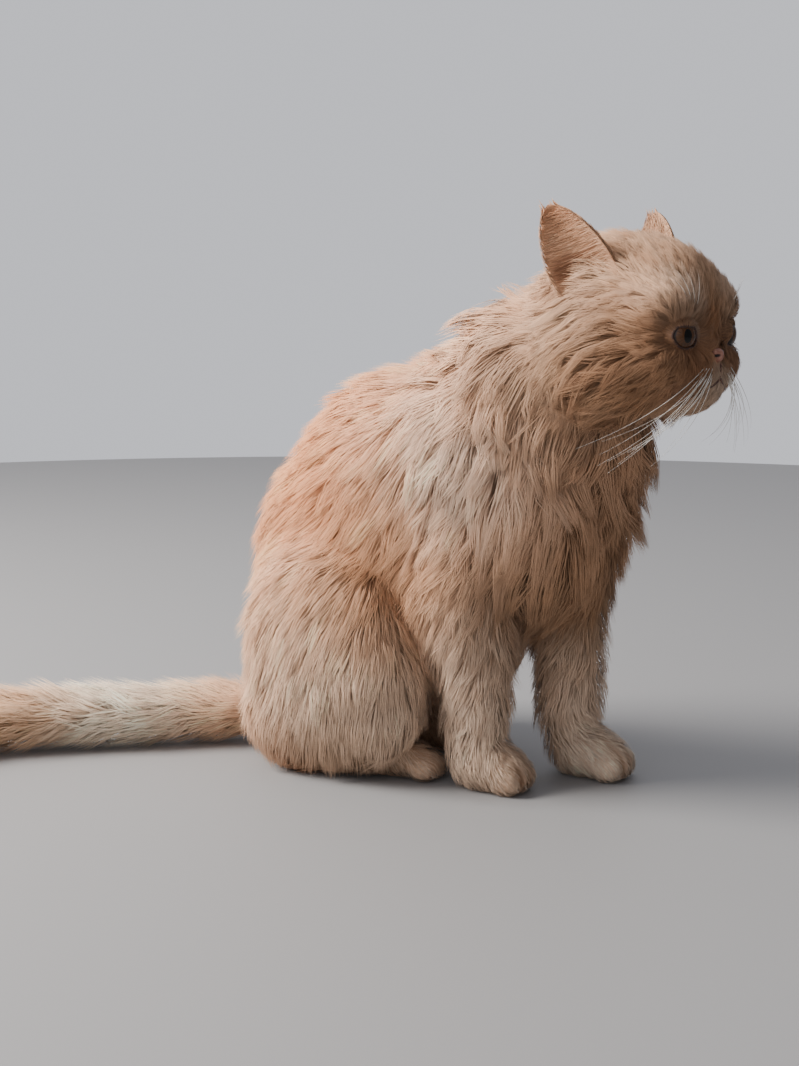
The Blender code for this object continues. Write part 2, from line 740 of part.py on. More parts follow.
def body_nodes():
    nodes = {
        "head": Node(
            head_masses(), ((16.4, -0.3, 31.0), (18.9, -0.6, 30.2)), 4, (6, 9), 28, HEAD_BLEND,
            Coat(2.7, 4.2, 1.8, 0.42, 11, cheek),
        ),
        "neck": Node(
            neck_masses(), ((10.2, 0, 24.6), (12.8, 0, 28.0)), 4, (4, 4), 18, coat=Coat(3.2, 6.4, 2.6, 0.7, 22)
        ),
        "torso": Node(
            trunk_masses(), ((-5.6, 0, 3.5), (-5.0, 0, 8.5), (-2.4, 0, 13.6), (2.6, 0, 17.6), (8.2, 0, 19.8)),
            9, (4, 4), 18, coat=Coat(4.1, 7.0, 3.1, 0.8, 36, off_belly),
        ),
    }
    for side in (RIGHT, LEFT):
        x, y, name = FORE_X[side], FORE_Y[side], SIDE_NAMES[side]
        paw_x = x + PAW_AHEAD[side]
        nodes[f"forepaw_{name}"] = Node(
            fore_paw_masses(side), ((paw_x + 0.2, y, 1.3), (paw_x + 2.0, y, 1.1)), 4, (3, 4), 20, PAW_BLEND
        )
        nodes[f"foreleg_{name}"] = Node(
            foreleg_masses(side), ((x, y, 4.0), (x - 0.2, y * 1.05, 9.0), (x - 0.8, y * 1.15, 15.0)),
            6, (2, 2), 12, coat=Coat(3.3, 4.4, 2.0, 0.5, 42 + side, outer_leg(side)),
        )
        hy = side * HIND_Y
        nodes[f"hindpaw_{name}"] = Node(
            hind_paw_masses(side), ((-2.0, hy, 1.2), (3.2, hy, 1.0)), 6, (2, 3), 16, PAW_BLEND
        )
        nodes[f"thigh_{name}"] = Node(
            thigh_masses(side), ((-5.0, side * 4.9, 6.0), (0.2, side * 5.2, 7.0)),
            6, (3, 3), 16, coat=Coat(3.7, 6.0, 2.7, 0.7, 52 + side, outer_thigh(side)),
        )
    for number, (name, (start, end)) in enumerate(TAIL_PARTS.items()):
        nodes[name] = tail_piece(start, end, Coat(3.4, 5.2, 2.1, 0.55, 61 + number))
    return nodes


# Nodes are made in this order, and each is cut back where it would enter one made before it.
BUILD_ORDER = (
    "head",
    "neck",
    "forepaw_right",
    "forepaw_left",
    "foreleg_right",
    "foreleg_left",
    "hindpaw_right",
    "hindpaw_left",
    "thigh_right",
    "thigh_left",
    "torso",
    *TAIL_PARTS,
)


def box_of(item):
    corners = np.array([v.co for v in item.data.vertices])
    return corners.min(axis=0), corners.max(axis=0)


def is_tail(name):
    return name in TAIL_PARTS


def near_box(first, second):
    """Whether two boxes come within two gaps of each other."""
    reach_out = 2 * GAP * CM
    return bool(np.all(first[0] < second[1] + reach_out) and np.all(second[0] < first[1] + reach_out))


def main():
    clear_scene()
    cat = collection("persian_cat")
    nodes = body_nodes()
    hairy = [m for name, n in nodes.items() if n.coat and not is_tail(name) for m in n.masses]

    def shape(name, grow=0.0):
        """The closed meshes that a node is the union of: its plain form and its locks."""
        node = nodes[name]
        masses, lie = (node.masses, tail_lie_at) if is_tail(name) else (hairy, lie_at)
        pieces = [node.plain(name, grow)]
        if node.coat and LOCKS_SHOWN:
            if node.places is None:
                others = [n for other, n in nodes.items() if other != name and not (is_tail(other) and is_tail(name))]
                node.places = roots(node, others)
                print(name, len(node.places), "locks")
            pieces += locks(masses, node.places, node.coat, lie, grow)
        return pieces

    boxes = {}
    for name in BUILD_ORDER:
        whole, *rest = shape(name)
        cat.objects.link(whole)
        if name == "head":
            rest += [lid_ring(RIGHT), lid_ring(LEFT), lip()]
        if rest:
            boolean(whole, rest, "UNION")
        if name == "head":
            boolean(whole, [socket(RIGHT), socket(LEFT), *mouth_cutters()], "DIFFERENCE")
            boolean(whole, [lid_ring(RIGHT), lid_ring(LEFT)], "UNION")
            boolean(whole, [eye(RIGHT, GAP), eye(LEFT, GAP)], "DIFFERENCE")
        box = box_of(whole)
        away = [floor_block()]
        if box[1][2] > EAR_BASE[2] * CM - EAR_HALF_WIDTH * CM:
            away += [ear(RIGHT, GAP), ear(LEFT, GAP)]
        for other, other_box in boxes.items():
            if near_box(box, other_box):
                away += [piece for piece in shape(other, GAP) if near_box(box, box_of(piece))]
        boolean(whole, away, "DIFFERENCE")
        if name in ("torso", "tail_root"):
            finished = [cat.objects[other].copy() for other, at in boxes.items() if near_box(box, at)]
            boolean(whole, finished, "DIFFERENCE")
        keep_largest(whole)
        part_touching(whole)
        boxes[name] = box
    for side in (RIGHT, LEFT):
        cat.objects.link(eye(side))
        whole = ear(side)
        cat.objects.link(whole)
        boolean(whole, [nodes["head"].plain("head", GAP)], "DIFFERENCE")
        keep_largest(whole)
    for item in cat.objects:
        fur = not item.name.startswith("eye")
        item.data.materials.clear()
        item.data.materials.append(
            material(f"{item.name}_coat" if fur else f"{item.name}_wet", COAT if fur else EYE, 0.8 if fur else 0.15)
        )
        item.data.transform(Matrix.Translation(Vector((ORIGIN[0], ORIGIN[1], 0.0)) * CM))
        for face in item.data.polygons:
            face.use_smooth = not fur


COAT = (0.72, 0.47, 0.28)
EYE = (0.28, 0.12, 0.03)

main()
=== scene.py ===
# %% [markdown]
# # A sitting persian cat, life size
#
# This lesson dresses a plain solid model of a cat: it gives it one skin, a long soft coat
# made of more than a hundred thousand small tufts, wet eyes, a nose, ears and whiskers. The
# plain solid is loaded first, and everything made here sits where that solid says.

# %% Load the solid model
import math

import bmesh
import bpy
import numpy as np
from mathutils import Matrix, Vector


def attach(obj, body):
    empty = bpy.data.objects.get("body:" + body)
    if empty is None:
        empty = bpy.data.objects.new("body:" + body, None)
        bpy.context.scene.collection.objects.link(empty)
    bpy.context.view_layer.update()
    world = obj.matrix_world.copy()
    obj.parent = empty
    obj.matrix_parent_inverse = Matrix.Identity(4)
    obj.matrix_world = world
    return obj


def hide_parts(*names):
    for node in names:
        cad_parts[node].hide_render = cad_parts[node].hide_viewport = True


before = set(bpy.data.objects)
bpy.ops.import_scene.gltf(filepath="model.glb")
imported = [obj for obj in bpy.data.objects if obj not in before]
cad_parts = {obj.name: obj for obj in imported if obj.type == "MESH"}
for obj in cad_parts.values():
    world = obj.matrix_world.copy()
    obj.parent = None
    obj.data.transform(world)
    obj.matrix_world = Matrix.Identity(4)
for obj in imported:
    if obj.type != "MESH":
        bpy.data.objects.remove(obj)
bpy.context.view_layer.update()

# %% [markdown]
# ## Camera
#
# The picture was taken from a little in front of the cat's right side, about a metre away and
# level with its head. The view is as wide as a 54 mm lens gives before a 36 mm sensor.

# %% Place the camera
CM = 0.01
# The body below is worked out about a point between the paws, and the model stands here.
STAND = np.array([4.4, 6.5, 0.0])
SENSOR, LENS = 36.0, 54.03
CAMERA_PLACE = (0.5968, -0.8972, 0.33)
LOOKS_DOWN, TURNED = 8.6, 30.0

camera_data = bpy.data.cameras.new("camera")
camera_data.sensor_width = SENSOR
camera_data.lens = LENS
camera = bpy.data.objects.new("camera", camera_data)
camera.location = CAMERA_PLACE
camera.rotation_euler = (math.radians(90 - LOOKS_DOWN), 0.0, math.radians(TURNED))
bpy.context.scene.collection.objects.link(camera)
bpy.context.scene.camera = camera
print("camera at", tuple(camera.location))

# %% [markdown]
# ## Shader maths
#
# A material is a small network of nodes. Writing that network as arithmetic is easier to read,
# so one class stands for a number that changes over a surface: multiplying it, or taking it
# from another number, adds a Math node.


# %% The shader helper
class Flow:
    """A number that varies over a surface: - and * on it add Math nodes."""

    def __init__(self, tree, socket):
        self.tree, self.socket = tree, socket

    def maths(self, operation, first, second):
        made = add_node(self.tree, "ShaderNodeMath", {"operation": operation}, {0: first, 1: second})
        return Flow(self.tree, made.outputs[0])

    def __sub__(self, other):
        return self.maths("SUBTRACT", self, other)

    def __rsub__(self, other):
        return self.maths("SUBTRACT", other, self)

    def __mul__(self, other):
        return self.maths("MULTIPLY", self, other)

    __rmul__ = __mul__

    def step(self, start, end):
        """0 below start and 1 above end, with a smooth rise between."""
        made = add_node(
            self.tree,
            "ShaderNodeMapRange",
            {"interpolation_type": "SMOOTHSTEP"},
            {"Value": self, "From Min": start, "From Max": end},
        )
        return Flow(self.tree, made.outputs[0])


def add_node(tree, kind, settings, values):
    """Adds a node of that kind, sets its settings, then each socket's value or link."""
    made = tree.nodes.new(kind)
    for name, value in settings.items():
        setattr(made, name, value)
    for name, value in values.items():
        socket = made.inputs[name]
        if isinstance(value, Flow):
            tree.links.new(value.socket, socket)
        elif isinstance(value, bpy.types.NodeSocket):
            tree.links.new(value, socket)
        else:
            socket.default_value = value
    return made


def new_material(name, roughness, **fixed):
    """A material with its one main shader, and the settings that are the same all over."""
    made = bpy.data.materials.new(name)
    made.use_nodes = True
    shader = made.node_tree.nodes["Principled BSDF"]
    shader.inputs["Roughness"].default_value = roughness
    for socket, value in fixed.items():
        shader.inputs[socket.replace("_", " ")].default_value = value
    return made, made.node_tree


def object_place(tree):
    return add_node(tree, "ShaderNodeTexCoord", {}, {}).outputs["Object"]


NOISE_ROUGHNESS = 0.55


def noise(tree, scale, detail, vector=None):
    """Cloudy noise from 0 to 1, with so many waves to a metre."""
    values = {"Scale": scale, "Detail": detail, "Roughness": NOISE_ROUGHNESS}
    values["Vector"] = vector or object_place(tree)
    return Flow(tree, add_node(tree, "ShaderNodeTexNoise", {}, values).outputs[0])


def mixed(tree, kind, share, *colours):
    """Two colours mixed, or multiplied, by a share. A colour is a socket, or its three numbers."""
    first, second = ((*c, 1.0) if isinstance(c, tuple) else c for c in colours)
    settings = {"data_type": "RGBA", "blend_type": kind}
    return add_node(tree, "ShaderNodeMix", settings, {0: share, 6: first, 7: second}).outputs[2]


def coloured(tree, colour):
    """Feeds a colour to the material's shader."""
    tree.links.new(colour, tree.nodes["Principled BSDF"].inputs["Base Color"])


def bumped(tree, height, strength, distance):
    """Feeds a height through a Bump node to the normal of the material's shader."""
    values = {"Height": height, "Strength": strength, "Distance": distance}
    made = add_node(tree, "ShaderNodeBump", {}, values)
    tree.links.new(made.outputs[0], tree.nodes["Principled BSDF"].inputs["Normal"])


# %% [markdown]
# ## Floor and light
#
# The cat sits on a plain pale floor. A broad lamp high on the left stands for a window, and a
# weak one on the other side and a pale surround keep the shadows soft, as in a room.

# %% Make the floor and the lamps
# The floor is a disc, just under the soles so that they don't share its height.
FLOOR_RADIUS, FLOOR_AROUND, FLOOR_BELOW = 2.15, 128, 0.0005


def turns(count):
    """That many even turns round a circle."""
    return np.linspace(0, 2 * math.pi, count + 1)[:-1]


def add_object(name, mesh, material):
    """Puts a mesh with its material into the scene."""
    made = bpy.data.objects.new(name, mesh)
    bpy.context.scene.collection.objects.link(made)
    mesh.materials.append(material)
    return made


turn = turns(FLOOR_AROUND)
edge = np.stack([np.cos(turn), np.sin(turn), 0 * turn], axis=1) * FLOOR_RADIUS
edge[:, 2] = -FLOOR_BELOW
floor_mesh = bpy.data.meshes.new("floor")
floor_mesh.from_pydata(edge.tolist(), [], [list(range(FLOOR_AROUND))])
material, tree = new_material("pale_floor", 0.6)
speckle = noise(tree, 9.0, 4.0) * 0.03
coloured(tree, mixed(tree, "MIX", speckle, (0.33, 0.327, 0.33), (0.28, 0.277, 0.28)))
add_object("floor", floor_mesh, material)


def lamp(name, place, target, size, power, colour):
    """A square lamp of that size, turned to the target."""
    data = bpy.data.lights.new(name, "AREA")
    data.size, data.energy, data.color = size, power, colour
    made = bpy.data.objects.new(name, data)
    made.location = place
    made.rotation_euler = (Vector(target) - Vector(place)).to_track_quat("-Z", "Y").to_euler()
    bpy.context.scene.collection.objects.link(made)


lamp("window", (-1.35, -0.85, 1.35), (0.0, 0.05, 0.15), 1.1, 95.0, (1.0, 0.95, 0.90))
lamp("room", (0.9, -1.6, 0.9), (0.1, 0.0, 0.2), 1.6, 3.0, (1.0, 0.98, 0.96))
world = bpy.data.worlds.new("surround")
world.use_nodes = True
# The surround is pale behind and on the window side, and dim on the side the cat looks to.
tree = world.node_tree
way = add_node(tree, "ShaderNodeTexCoord", {}, {}).outputs["Generated"]
along_x = Flow(tree, add_node(tree, "ShaderNodeSeparateXYZ", {}, {0: way}).outputs[0])
sky = mixed(tree, "MIX", along_x.step(-0.2, 0.6), (0.72, 0.73, 0.78), (0.17, 0.17, 0.18))
tree.links.new(sky, tree.nodes["Background"].inputs["Color"])
bpy.context.scene.world = world
print("floor and two lamps are in place")

# %% [markdown]
# ## The body as a field
#
# An animal's body can be built from rounded masses: ribs, belly, haunches, skull, cheeks. Each
# is an ellipsoid, and a smooth minimum of their distances blends them, as clay pressed together.
# The result is a number at every point of space, below nothing inside the body. Each mass also
# has the depth of the coat over it, which gives a second field for the outside of the fur. Both
# are worked out once on a grid of points and read from there.

# %% The masses of the body
RIGHT, LEFT = -1, 1
SIDES = {RIGHT: "right", LEFT: "left"}
HEAD_TURN = math.radians(-8.0)
HEAD_PIVOT = np.array([14.0, 0.0, 0.0])
# A place farther forwards and higher than this, in centimetres, is on the head.
HEAD_FROM_X, HEAD_FROM_Z = 13.0, 25.5
FORE_X, FORE_Y = {RIGHT: 7.5, LEFT: 11.6}, {RIGHT: -3.1, LEFT: 3.0}
PAW_AHEAD = {RIGHT: 0.4, LEFT: 1.0}
HIND_Y = 3.6
TAIL_PATH = [(-8.5, -0.2, 3.0), (-11.0, -1.2, 2.5), (-14.7, -3.4, 2.35), (-20.0, -8.0, 2.35)]
TAIL_PATH += [(-25.6, -12.8, 2.35), (-28.8, -17.0, 2.2), (-29.8, -20.2, 2.1)]


def smooth_path(points, count):
    """A smooth curve through the points: each stretch is a cubic, and its slope at a point is half
    the step from the point before to the one after."""
    p = np.array(points, float)
    p = np.vstack([2 * p[0] - p[1], p, 2 * p[-1] - p[-2]])
    t = np.linspace(0, len(points) - 1, count)
    i = np.minimum(t.astype(int), len(points) - 2)
    u = (t - i)[:, None]
    a, b, c, d = p[i], p[i + 1], p[i + 2], p[i + 3]
    bend = (2 * a - 5 * b + 4 * c - d) * u**2 + (3 * b - a - 3 * c + d) * u**3
    return 0.5 * (2 * b + (c - a) * u + bend)


c, s = math.cos(HEAD_TURN), math.sin(HEAD_TURN)
HEAD_SPIN = np.array([[c, s, 0], [-s, c, 0], [0, 0, 1.0]])


def head_place(points):
    """Points given for a head that looks straight ahead, turned about the neck."""
    return (np.asarray(points, float) - HEAD_PIVOT) @ HEAD_SPIN + HEAD_PIVOT


def head_way(way):
    return head_place(HEAD_PIVOT + np.asarray(way, float)) - HEAD_PIVOT


def sided(place, side):
    """A place or a way given for the cat's left, on that side."""
    return np.array(place) * (1, side, 1)


def on_side(place, side):
    """A place given for the cat's left, on that side, turned with the head if it is on it."""
    on_head = place[0] > HEAD_FROM_X and place[2] > HEAD_FROM_Z
    return head_place(sided(place, side)) if on_head else sided(place, side)


def mirrored(masses):
    """Each mass on the cat's left and its twin on the right."""
    return [((x, side * y, z), *rest) for (x, y, z), *rest in masses for side in SIDES]


# Each mass is its centre, its half sizes, its pitch in degrees and the coat's depth over it.
TRUNK = [
    ((-5.4, 0, 7.0), (5.7, 5.0, 7.0), 0, 1.4),
    ((-4.1, 0, 13.6), (6.1, 5.2, 7.3), 20, 1.3),
    ((0.7, 0, 18.8), (8.5, 5.4, 7.7), 48, 1.5),
    ((7.0, 0, 21.8), (5.8, 5.8, 6.2), 40, 2.0),
    ((10.6, 0, 18.2), (4.2, 4.6, 5.4), 0, 2.6),
    ((3.8, 0, 11.6), (5.0, 4.2, 4.6), 0, 1.8),
]
NECK = [((10.9, 0, 26.6), (4.7, 4.4, 4.9), 50, 2.6), ((13.2, 0, 23.0), (2.5, 3.4, 3.6), 0, 2.4)]
NECK += [((14.9, 0.4, 24.8), (1.5, 2.2, 1.9), 0, 1.6)]
HEAD = [
    ((16.2, 0, 31.4), (4.6, 4.5, 4.4), 0, 1.1),
    ((19.3, 0, 32.6), (2.6, 3.4, 2.7), 0, 0.6),
    ((20.0, 0, 28.6), (1.9, 2.6, 2.0), 0, 0.35),
    ((20.9, 0, 26.8), (1.3, 1.3, 0.9), 0, 0.25),
    ((21.6, 0, 29.15), (0.75, 0.62, 0.5), 0, 0.05),
    *mirrored([
        ((17.2, 3.0, 28.9), (3.2, 2.5, 2.8), 0, 1.5),
        ((21.35, 1.0, 27.9), (1.2, 1.15, 0.95), 0, 0.2),
        ((20.7, 2.6, 32.2), (1.6, 1.8, 1.2), 0, 0.35),
        ((20.9, 3.0, 28.6), (1.4, 1.6, 1.1), 0, 0.35),
        ((21.03, 2.32, 30.4), (0.9, 0.9, 0.9), 0, 0.32),
    ]),
]


def thigh(side):
    return [
        ((-2.8, side * 5.1, 8.3), (5.4, 2.9, 7.0), 14, 1.5),
        ((0.9, side * 5.4, 6.2), (2.6, 2.2, 3.8), 0, 1.1),
        ((-5.4, side * 4.6, 3.6), (3.4, 2.8, 2.9), 0, 1.3),
    ]


def foreleg(side):
    x, y = FORE_X[side], FORE_Y[side]
    return [
        ((x - 0.9, y * 1.15, 14.2), (2.6, 2.1, 5.4), 0, 1.1),
        ((x, y, 7.4), (1.75, 1.55, 6.4), 0, 1.05),
    ]


# The four toes of a paw, by how far each is from its middle line.
TOE_ROW = (-1.5, -0.5, 0.5, 1.5)
TOES_AHEAD, TOE_APART, OUTER_TOES_BACK = 2.65, 0.85, 0.22
HIND_TOE_X, HIND_TOE_APART = 4.0, 0.62


def fore_toes(side):
    """Where the toes of a fore paw are: side by side, the outer two a little back."""
    x = FORE_X[side] + PAW_AHEAD[side] + TOES_AHEAD
    return [(x - OUTER_TOES_BACK * abs(j), FORE_Y[side] + j * TOE_APART) for j in TOE_ROW]


def hind_toes(side):
    return [(HIND_TOE_X, side * HIND_Y + j * HIND_TOE_APART) for j in TOE_ROW]


def fore_paw(side):
    pad = ((FORE_X[side] + PAW_AHEAD[side] + 0.7, FORE_Y[side], 1.5), (2.4, 1.75, 1.5), 0, 0.35)
    return [pad, *(((x, y, 0.9), (0.95, 0.52, 0.8), 0, 0.2) for x, y in fore_toes(side))]


def hind_paw(side):
    pad = ((0.4, side * HIND_Y, 1.3), (4.0, 1.4, 1.25), 0, 0.4)
    return [pad, *(((x, y, 0.85), (0.85, 0.42, 0.65), 0, 0.2) for x, y in hind_toes(side))]


# Each part of the body has its masses and how softly they run into one another, in centimetres.
PARTS = {"torso": (TRUNK, 0.7), "neck": (NECK, 0.7), "head": (HEAD, 0.6)}
for side, name in SIDES.items():
    PARTS[f"thigh_{name}"] = (thigh(side), 0.7)
    PARTS[f"foreleg_{name}"] = (foreleg(side), 0.7)
    PARTS[f"forepaw_{name}"] = (fore_paw(side), 0.22)
    PARTS[f"hindpaw_{name}"] = (hind_paw(side), 0.22)
print(len(PARTS), "parts of", sum(len(masses) for masses, _ in PARTS.values()), "masses, and a tail")

# %% The field on a grid
# The grid's cells, its lowest and highest corner and how many points it has along each axis.
CELL = 0.22
LOW, HIGH = np.array([-33.03, -24.05, -2.03]), np.array([26.5, 12.0, 39.0])
COUNT = np.ceil((HIGH - LOW) / CELL).astype(int)
# A mass is worked out this far past its largest half size, and the tail past its path.
FADE, TAIL_FADE = 3.5, 6.0
# What the field says where no mass is near.
FAR = 6.0
TINY = 1e-12
TAIL_RADIUS, TAIL_COAT, TAIL_BLEND = 0.95, 1.65, 0.4
# How softly the parts of the body run into one another.
BODY_BLEND = 0.4
# Distances are cut off at these, so that the powers of e stay in bounds.
MOST_DISTANCE, MOST_PART_DISTANCE = 20, 8
print("grid of", COUNT, "points, a cell of", CELL, "cm")


# %% The field of one part
def ellipsoid_distance(points, centre, half, pitch, on_head):
    """About how far a point is from an ellipsoid: its scaled radius less one, over the slope."""
    p = math.radians(pitch)
    turn = np.array([[math.cos(p), 0, math.sin(p)], [0, 1, 0], [-math.sin(p), 0, math.cos(p)]])
    if on_head:
        turned = (points - head_place(centre)) @ HEAD_SPIN.T
    else:
        turned = points - np.array(centre)
    q = turned @ turn.T
    near = np.linalg.norm(q / np.array(half), axis=-1)
    steep = np.linalg.norm(q / np.array(half) ** 2, axis=-1)
    return near * (near - 1) / np.maximum(steep, 1e-6)


def path_distance(points, path, radius):
    """The distance from the nearest stretch of a path, less its radius."""
    best = np.full(points.shape[:-1], 1e6)
    for a, b in zip(path[:-1], path[1:]):
        along = np.clip((points - a) @ (b - a) / ((b - a) @ (b - a)), 0, 1)
        best = np.minimum(best, np.linalg.norm(points - a - along[..., None] * (b - a), axis=-1))
    return best - radius


def grid_slice(lowest, highest):
    """The part of the grid that holds a box, and its points."""
    start = np.clip(((np.array(lowest) - LOW) / CELL).astype(int), 0, COUNT - 1)
    end = np.clip(((np.array(highest) - LOW) / CELL).astype(int) + 2, 1, COUNT)
    axes = [LOW[i] + CELL * np.arange(start[i], end[i]) for i in range(3)]
    where = tuple(slice(s, e) for s, e in zip(start, end))
    return where, np.stack(np.meshgrid(*axes, indexing="ij"), axis=-1).astype(np.float32)


def soft_least(total, blend):
    """The smooth minimum, from the sum of the powers of e of each distance over the blend."""
    return np.where(total > TINY, -blend * np.log(np.maximum(total, TINY)), FAR)


def part_field(name, masses, blend, share):
    """One part's slice of the grid and its field there, at a share of the coat's depth."""
    if name == "tail":
        where, points = grid_slice(tail_path.min(axis=0) - TAIL_FADE, tail_path.max(axis=0) + TAIL_FADE)
        return where, path_distance(points, tail_path, TAIL_RADIUS + share * TAIL_COAT)
    on_head = name == "head"
    centres = np.array([head_place(mass[0]) if on_head else mass[0] for mass in masses])
    spans = np.array([max(mass[1]) for mass in masses])[:, None] + FADE
    where, points = grid_slice((centres - spans).min(axis=0), (centres + spans).max(axis=0))
    total = np.zeros(points.shape[:3], np.float32)
    for *shape, coat in masses:
        distance = ellipsoid_distance(points, *shape, on_head) - share * coat
        total += np.exp(-np.clip(distance, -MOST_DISTANCE, MOST_DISTANCE) / blend)
    return where, soft_least(total, blend)


# %% Work out the fields
tail_path = smooth_path(TAIL_PATH, 24)
fields = {}
part_fields = {}
for share in (0.0, 1.0):
    body_sum = np.zeros(COUNT, np.float32)
    for name, (masses, blend) in [*PARTS.items(), ("tail", (None, TAIL_BLEND))]:
        where, part = part_field(name, masses, blend, share)
        kept = np.clip(part, -MOST_PART_DISTANCE, MOST_PART_DISTANCE)
        body_sum[where] += np.exp(-kept / BODY_BLEND)
        if share == 0.0:
            whole = np.full(COUNT, FAR, np.float32)
            whole[where] = part
            part_fields[name] = whole
    fields[share] = soft_least(body_sum, BODY_BLEND).astype(np.float32)
print("of the grid's points", round(float((fields[0.0] < 0).mean()), 3), "are inside the skin")

# %% [markdown]
# ## Reading the field
#
# Between grid points the field is a weighted mean of the eight corners of its cell. Its slope
# gives the way out of the body at any place, which every tuft of the coat needs.


# %% Read the field and its slope
def read(grid, points):
    """The field at points: the mean of the cell's eight corners, weighted by nearness."""
    q = np.clip((points - LOW) / CELL, 0, COUNT - 1.001)
    i = q.astype(int)
    x, y, z = np.moveaxis(q - i, -1, 0)
    a, b, c = np.moveaxis(i, -1, 0)
    total = 0.0
    for dx, wx in ((0, 1 - x), (1, x)):
        for dy, wy in ((0, 1 - y), (1, y)):
            for dz, wz in ((0, 1 - z), (1, z)):
                total = total + wx * wy * wz * grid[a + dx, b + dy, c + dz]
    return total


def at_share(points, share):
    """The field of the form at a share of the coat's depth, from the skin at 0 to the tips at 1."""
    return (1 - share) * read(fields[0.0], points) + share * read(fields[1.0], points)


def outwards(points, share=0.3, step=0.2):
    """The unit slope of the field, by its differences along each axis."""
    slope = np.zeros_like(points)
    for axis in range(3):
        shift = np.zeros(3)
        shift[axis] = step
        slope[:, axis] = at_share(points + shift, share) - at_share(points - shift, share)
    return slope / np.maximum(np.linalg.norm(slope, axis=-1, keepdims=True), 1e-9)


# %% [markdown]
# ## The skin
#
# The surface where the field is nothing becomes the skin: each grid cell that the surface
# crosses gets one point, at the mean of the crossings on its edges, and each grid edge that it
# crosses gets a face between the four cells round it. This is known as surface nets, and gives
# one closed skin with no seams between neck, legs and body.


# %% Wrap the field in a surface
def surface_nets(grid):
    """Points and four-cornered faces of the surface where the grid's values change sign."""
    inside = grid < 0
    corner = [(i, j, k) for i in (0, 1) for j in (0, 1) for k in (0, 1)]
    n = np.array(grid.shape) - 1
    low = np.ones(n, bool)
    high = np.zeros(n, bool)
    for i, j, k in corner:
        part = inside[i : n[0] + i, j : n[1] + j, k : n[2] + k]
        low &= part
        high |= part
    cells = np.argwhere(high & ~low)
    number = np.full(n, -1)
    number[tuple(cells.T)] = np.arange(len(cells))
    total = np.zeros((len(cells), 3))
    hits = np.zeros(len(cells))
    for first in corner:
        for axis in range(3):
            if first[axis]:
                continue
            second = list(first)
            second[axis] = 1
            a = grid[tuple((cells + first).T)]
            b = grid[tuple((cells + second).T)]
            crossed = (a < 0) != (b < 0)
            t = np.where(crossed, a / np.where(crossed, a - b, 1.0), 0.0)
            place = cells + np.array(first, float)
            place[:, axis] += t
            total += place * crossed[:, None]
            hits += crossed
    points = LOW + CELL * total / hits[:, None]
    faces = []
    for axis in range(3):
        shift = np.eye(3, dtype=int)[axis]
        span = tuple(slice(0, grid.shape[i] - shift[i]) for i in range(3))
        ahead = tuple(slice(shift[i], grid.shape[i]) for i in range(3))
        edges = np.argwhere(inside[span] != inside[ahead])
        one, two = np.eye(3, dtype=int)[(axis + 1) % 3], np.eye(3, dtype=int)[(axis + 2) % 3]
        ring = np.stack([number[tuple((edges - d).T)] for d in (0 * one, one, one + two, two)], axis=1)
        turned = inside[tuple(edges.T)]
        ring[~turned] = ring[~turned][:, ::-1]
        faces.append(ring)
    return points, np.concatenate(faces)


SMOOTHING_ROUNDS, SLOPE_STEP = 3, 0.12


def smoothed(points, faces, rounds):
    """Each point moved half way to the mean of its neighbours, then back onto the field."""
    first, second = np.concatenate([faces[:, [i, (i + 1) % 4]] for i in range(4)]).T
    count = np.bincount(first, minlength=len(points))[:, None]
    for _ in range(rounds):
        sums = [np.bincount(first, weights=place, minlength=len(points)) for place in points[second].T]
        points = 0.5 * points + 0.5 * np.stack(sums, axis=1) / count
        slope = outwards(points, 0.0, SLOPE_STEP)
        points = points - slope * read(fields[0.0], points)[:, None]
    return points


skin_points, skin_faces = surface_nets(fields[0.0])
skin_points = smoothed(skin_points, skin_faces, SMOOTHING_ROUNDS)
print("skin of", len(skin_points), "points and", len(skin_faces), "faces")

# %% [markdown]
# ## Ears
#
# A long-haired cat of this breed has small rounded ears, set wide and low. Each is a cup: the
# back is domed and the hollow faces forwards and out. They join the skin in the same mesh.


# %% The form of the ears
EAR_BASE = (16.2, 4.7, 34.3)
EAR_TIP = {RIGHT: (14.1, 5.5, 38.2), LEFT: (15.2, 5.7, 38.1)}
EAR_ACROSS = (0.85, -0.22, 0.47)
EAR_HALF_WIDTH = 1.95
EAR_DEPTH, EAR_HOLLOW, EAR_WALL = 1.0, 0.88, 0.16
# From below the skin to just short of the tip, in shares of the ear's height.
EAR_FROM, EAR_TO = -0.45, 0.995
EAR_RINGS, EAR_AROUND = 26, 40


def unit(ways):
    return ways / np.maximum(np.linalg.norm(ways, axis=-1, keepdims=True), 1e-9)


def ear_axes(side):
    """The ear's base, its rise to the tip, and the ways across and out of its hollow."""
    base = on_side(EAR_BASE, side)
    rise = on_side(EAR_TIP[side], side) - base
    across = unit(head_way(sided(EAR_ACROSS, side)))
    return base, rise, across, unit(np.cross(rise, across) * side)


def ear_place(side, v, angle, lift=0.0):
    """A point of the ear's shell: rings taper as (1 - v^1.7)^0.62 towards the tip, and each ring
    is a half circle behind and the same half circle pressed in, a wall apart, in front."""
    base, rise, across, front = ear_axes(side)
    taper = (1 - np.maximum(v, 0.0) ** 1.7) ** 0.62
    c, s = np.cos(angle), np.sin(angle)
    behind = EAR_DEPTH * taper * s - lift
    hollow = EAR_WALL * np.sqrt(np.maximum(s, 0)) - EAR_HOLLOW * EAR_DEPTH * taper * s * s + lift
    off = np.where(s < 0, behind, hollow)
    half = (EAR_HALF_WIDTH + lift) * taper
    return base + v[..., None] * rise + (half * c)[..., None] * across + off[..., None] * front


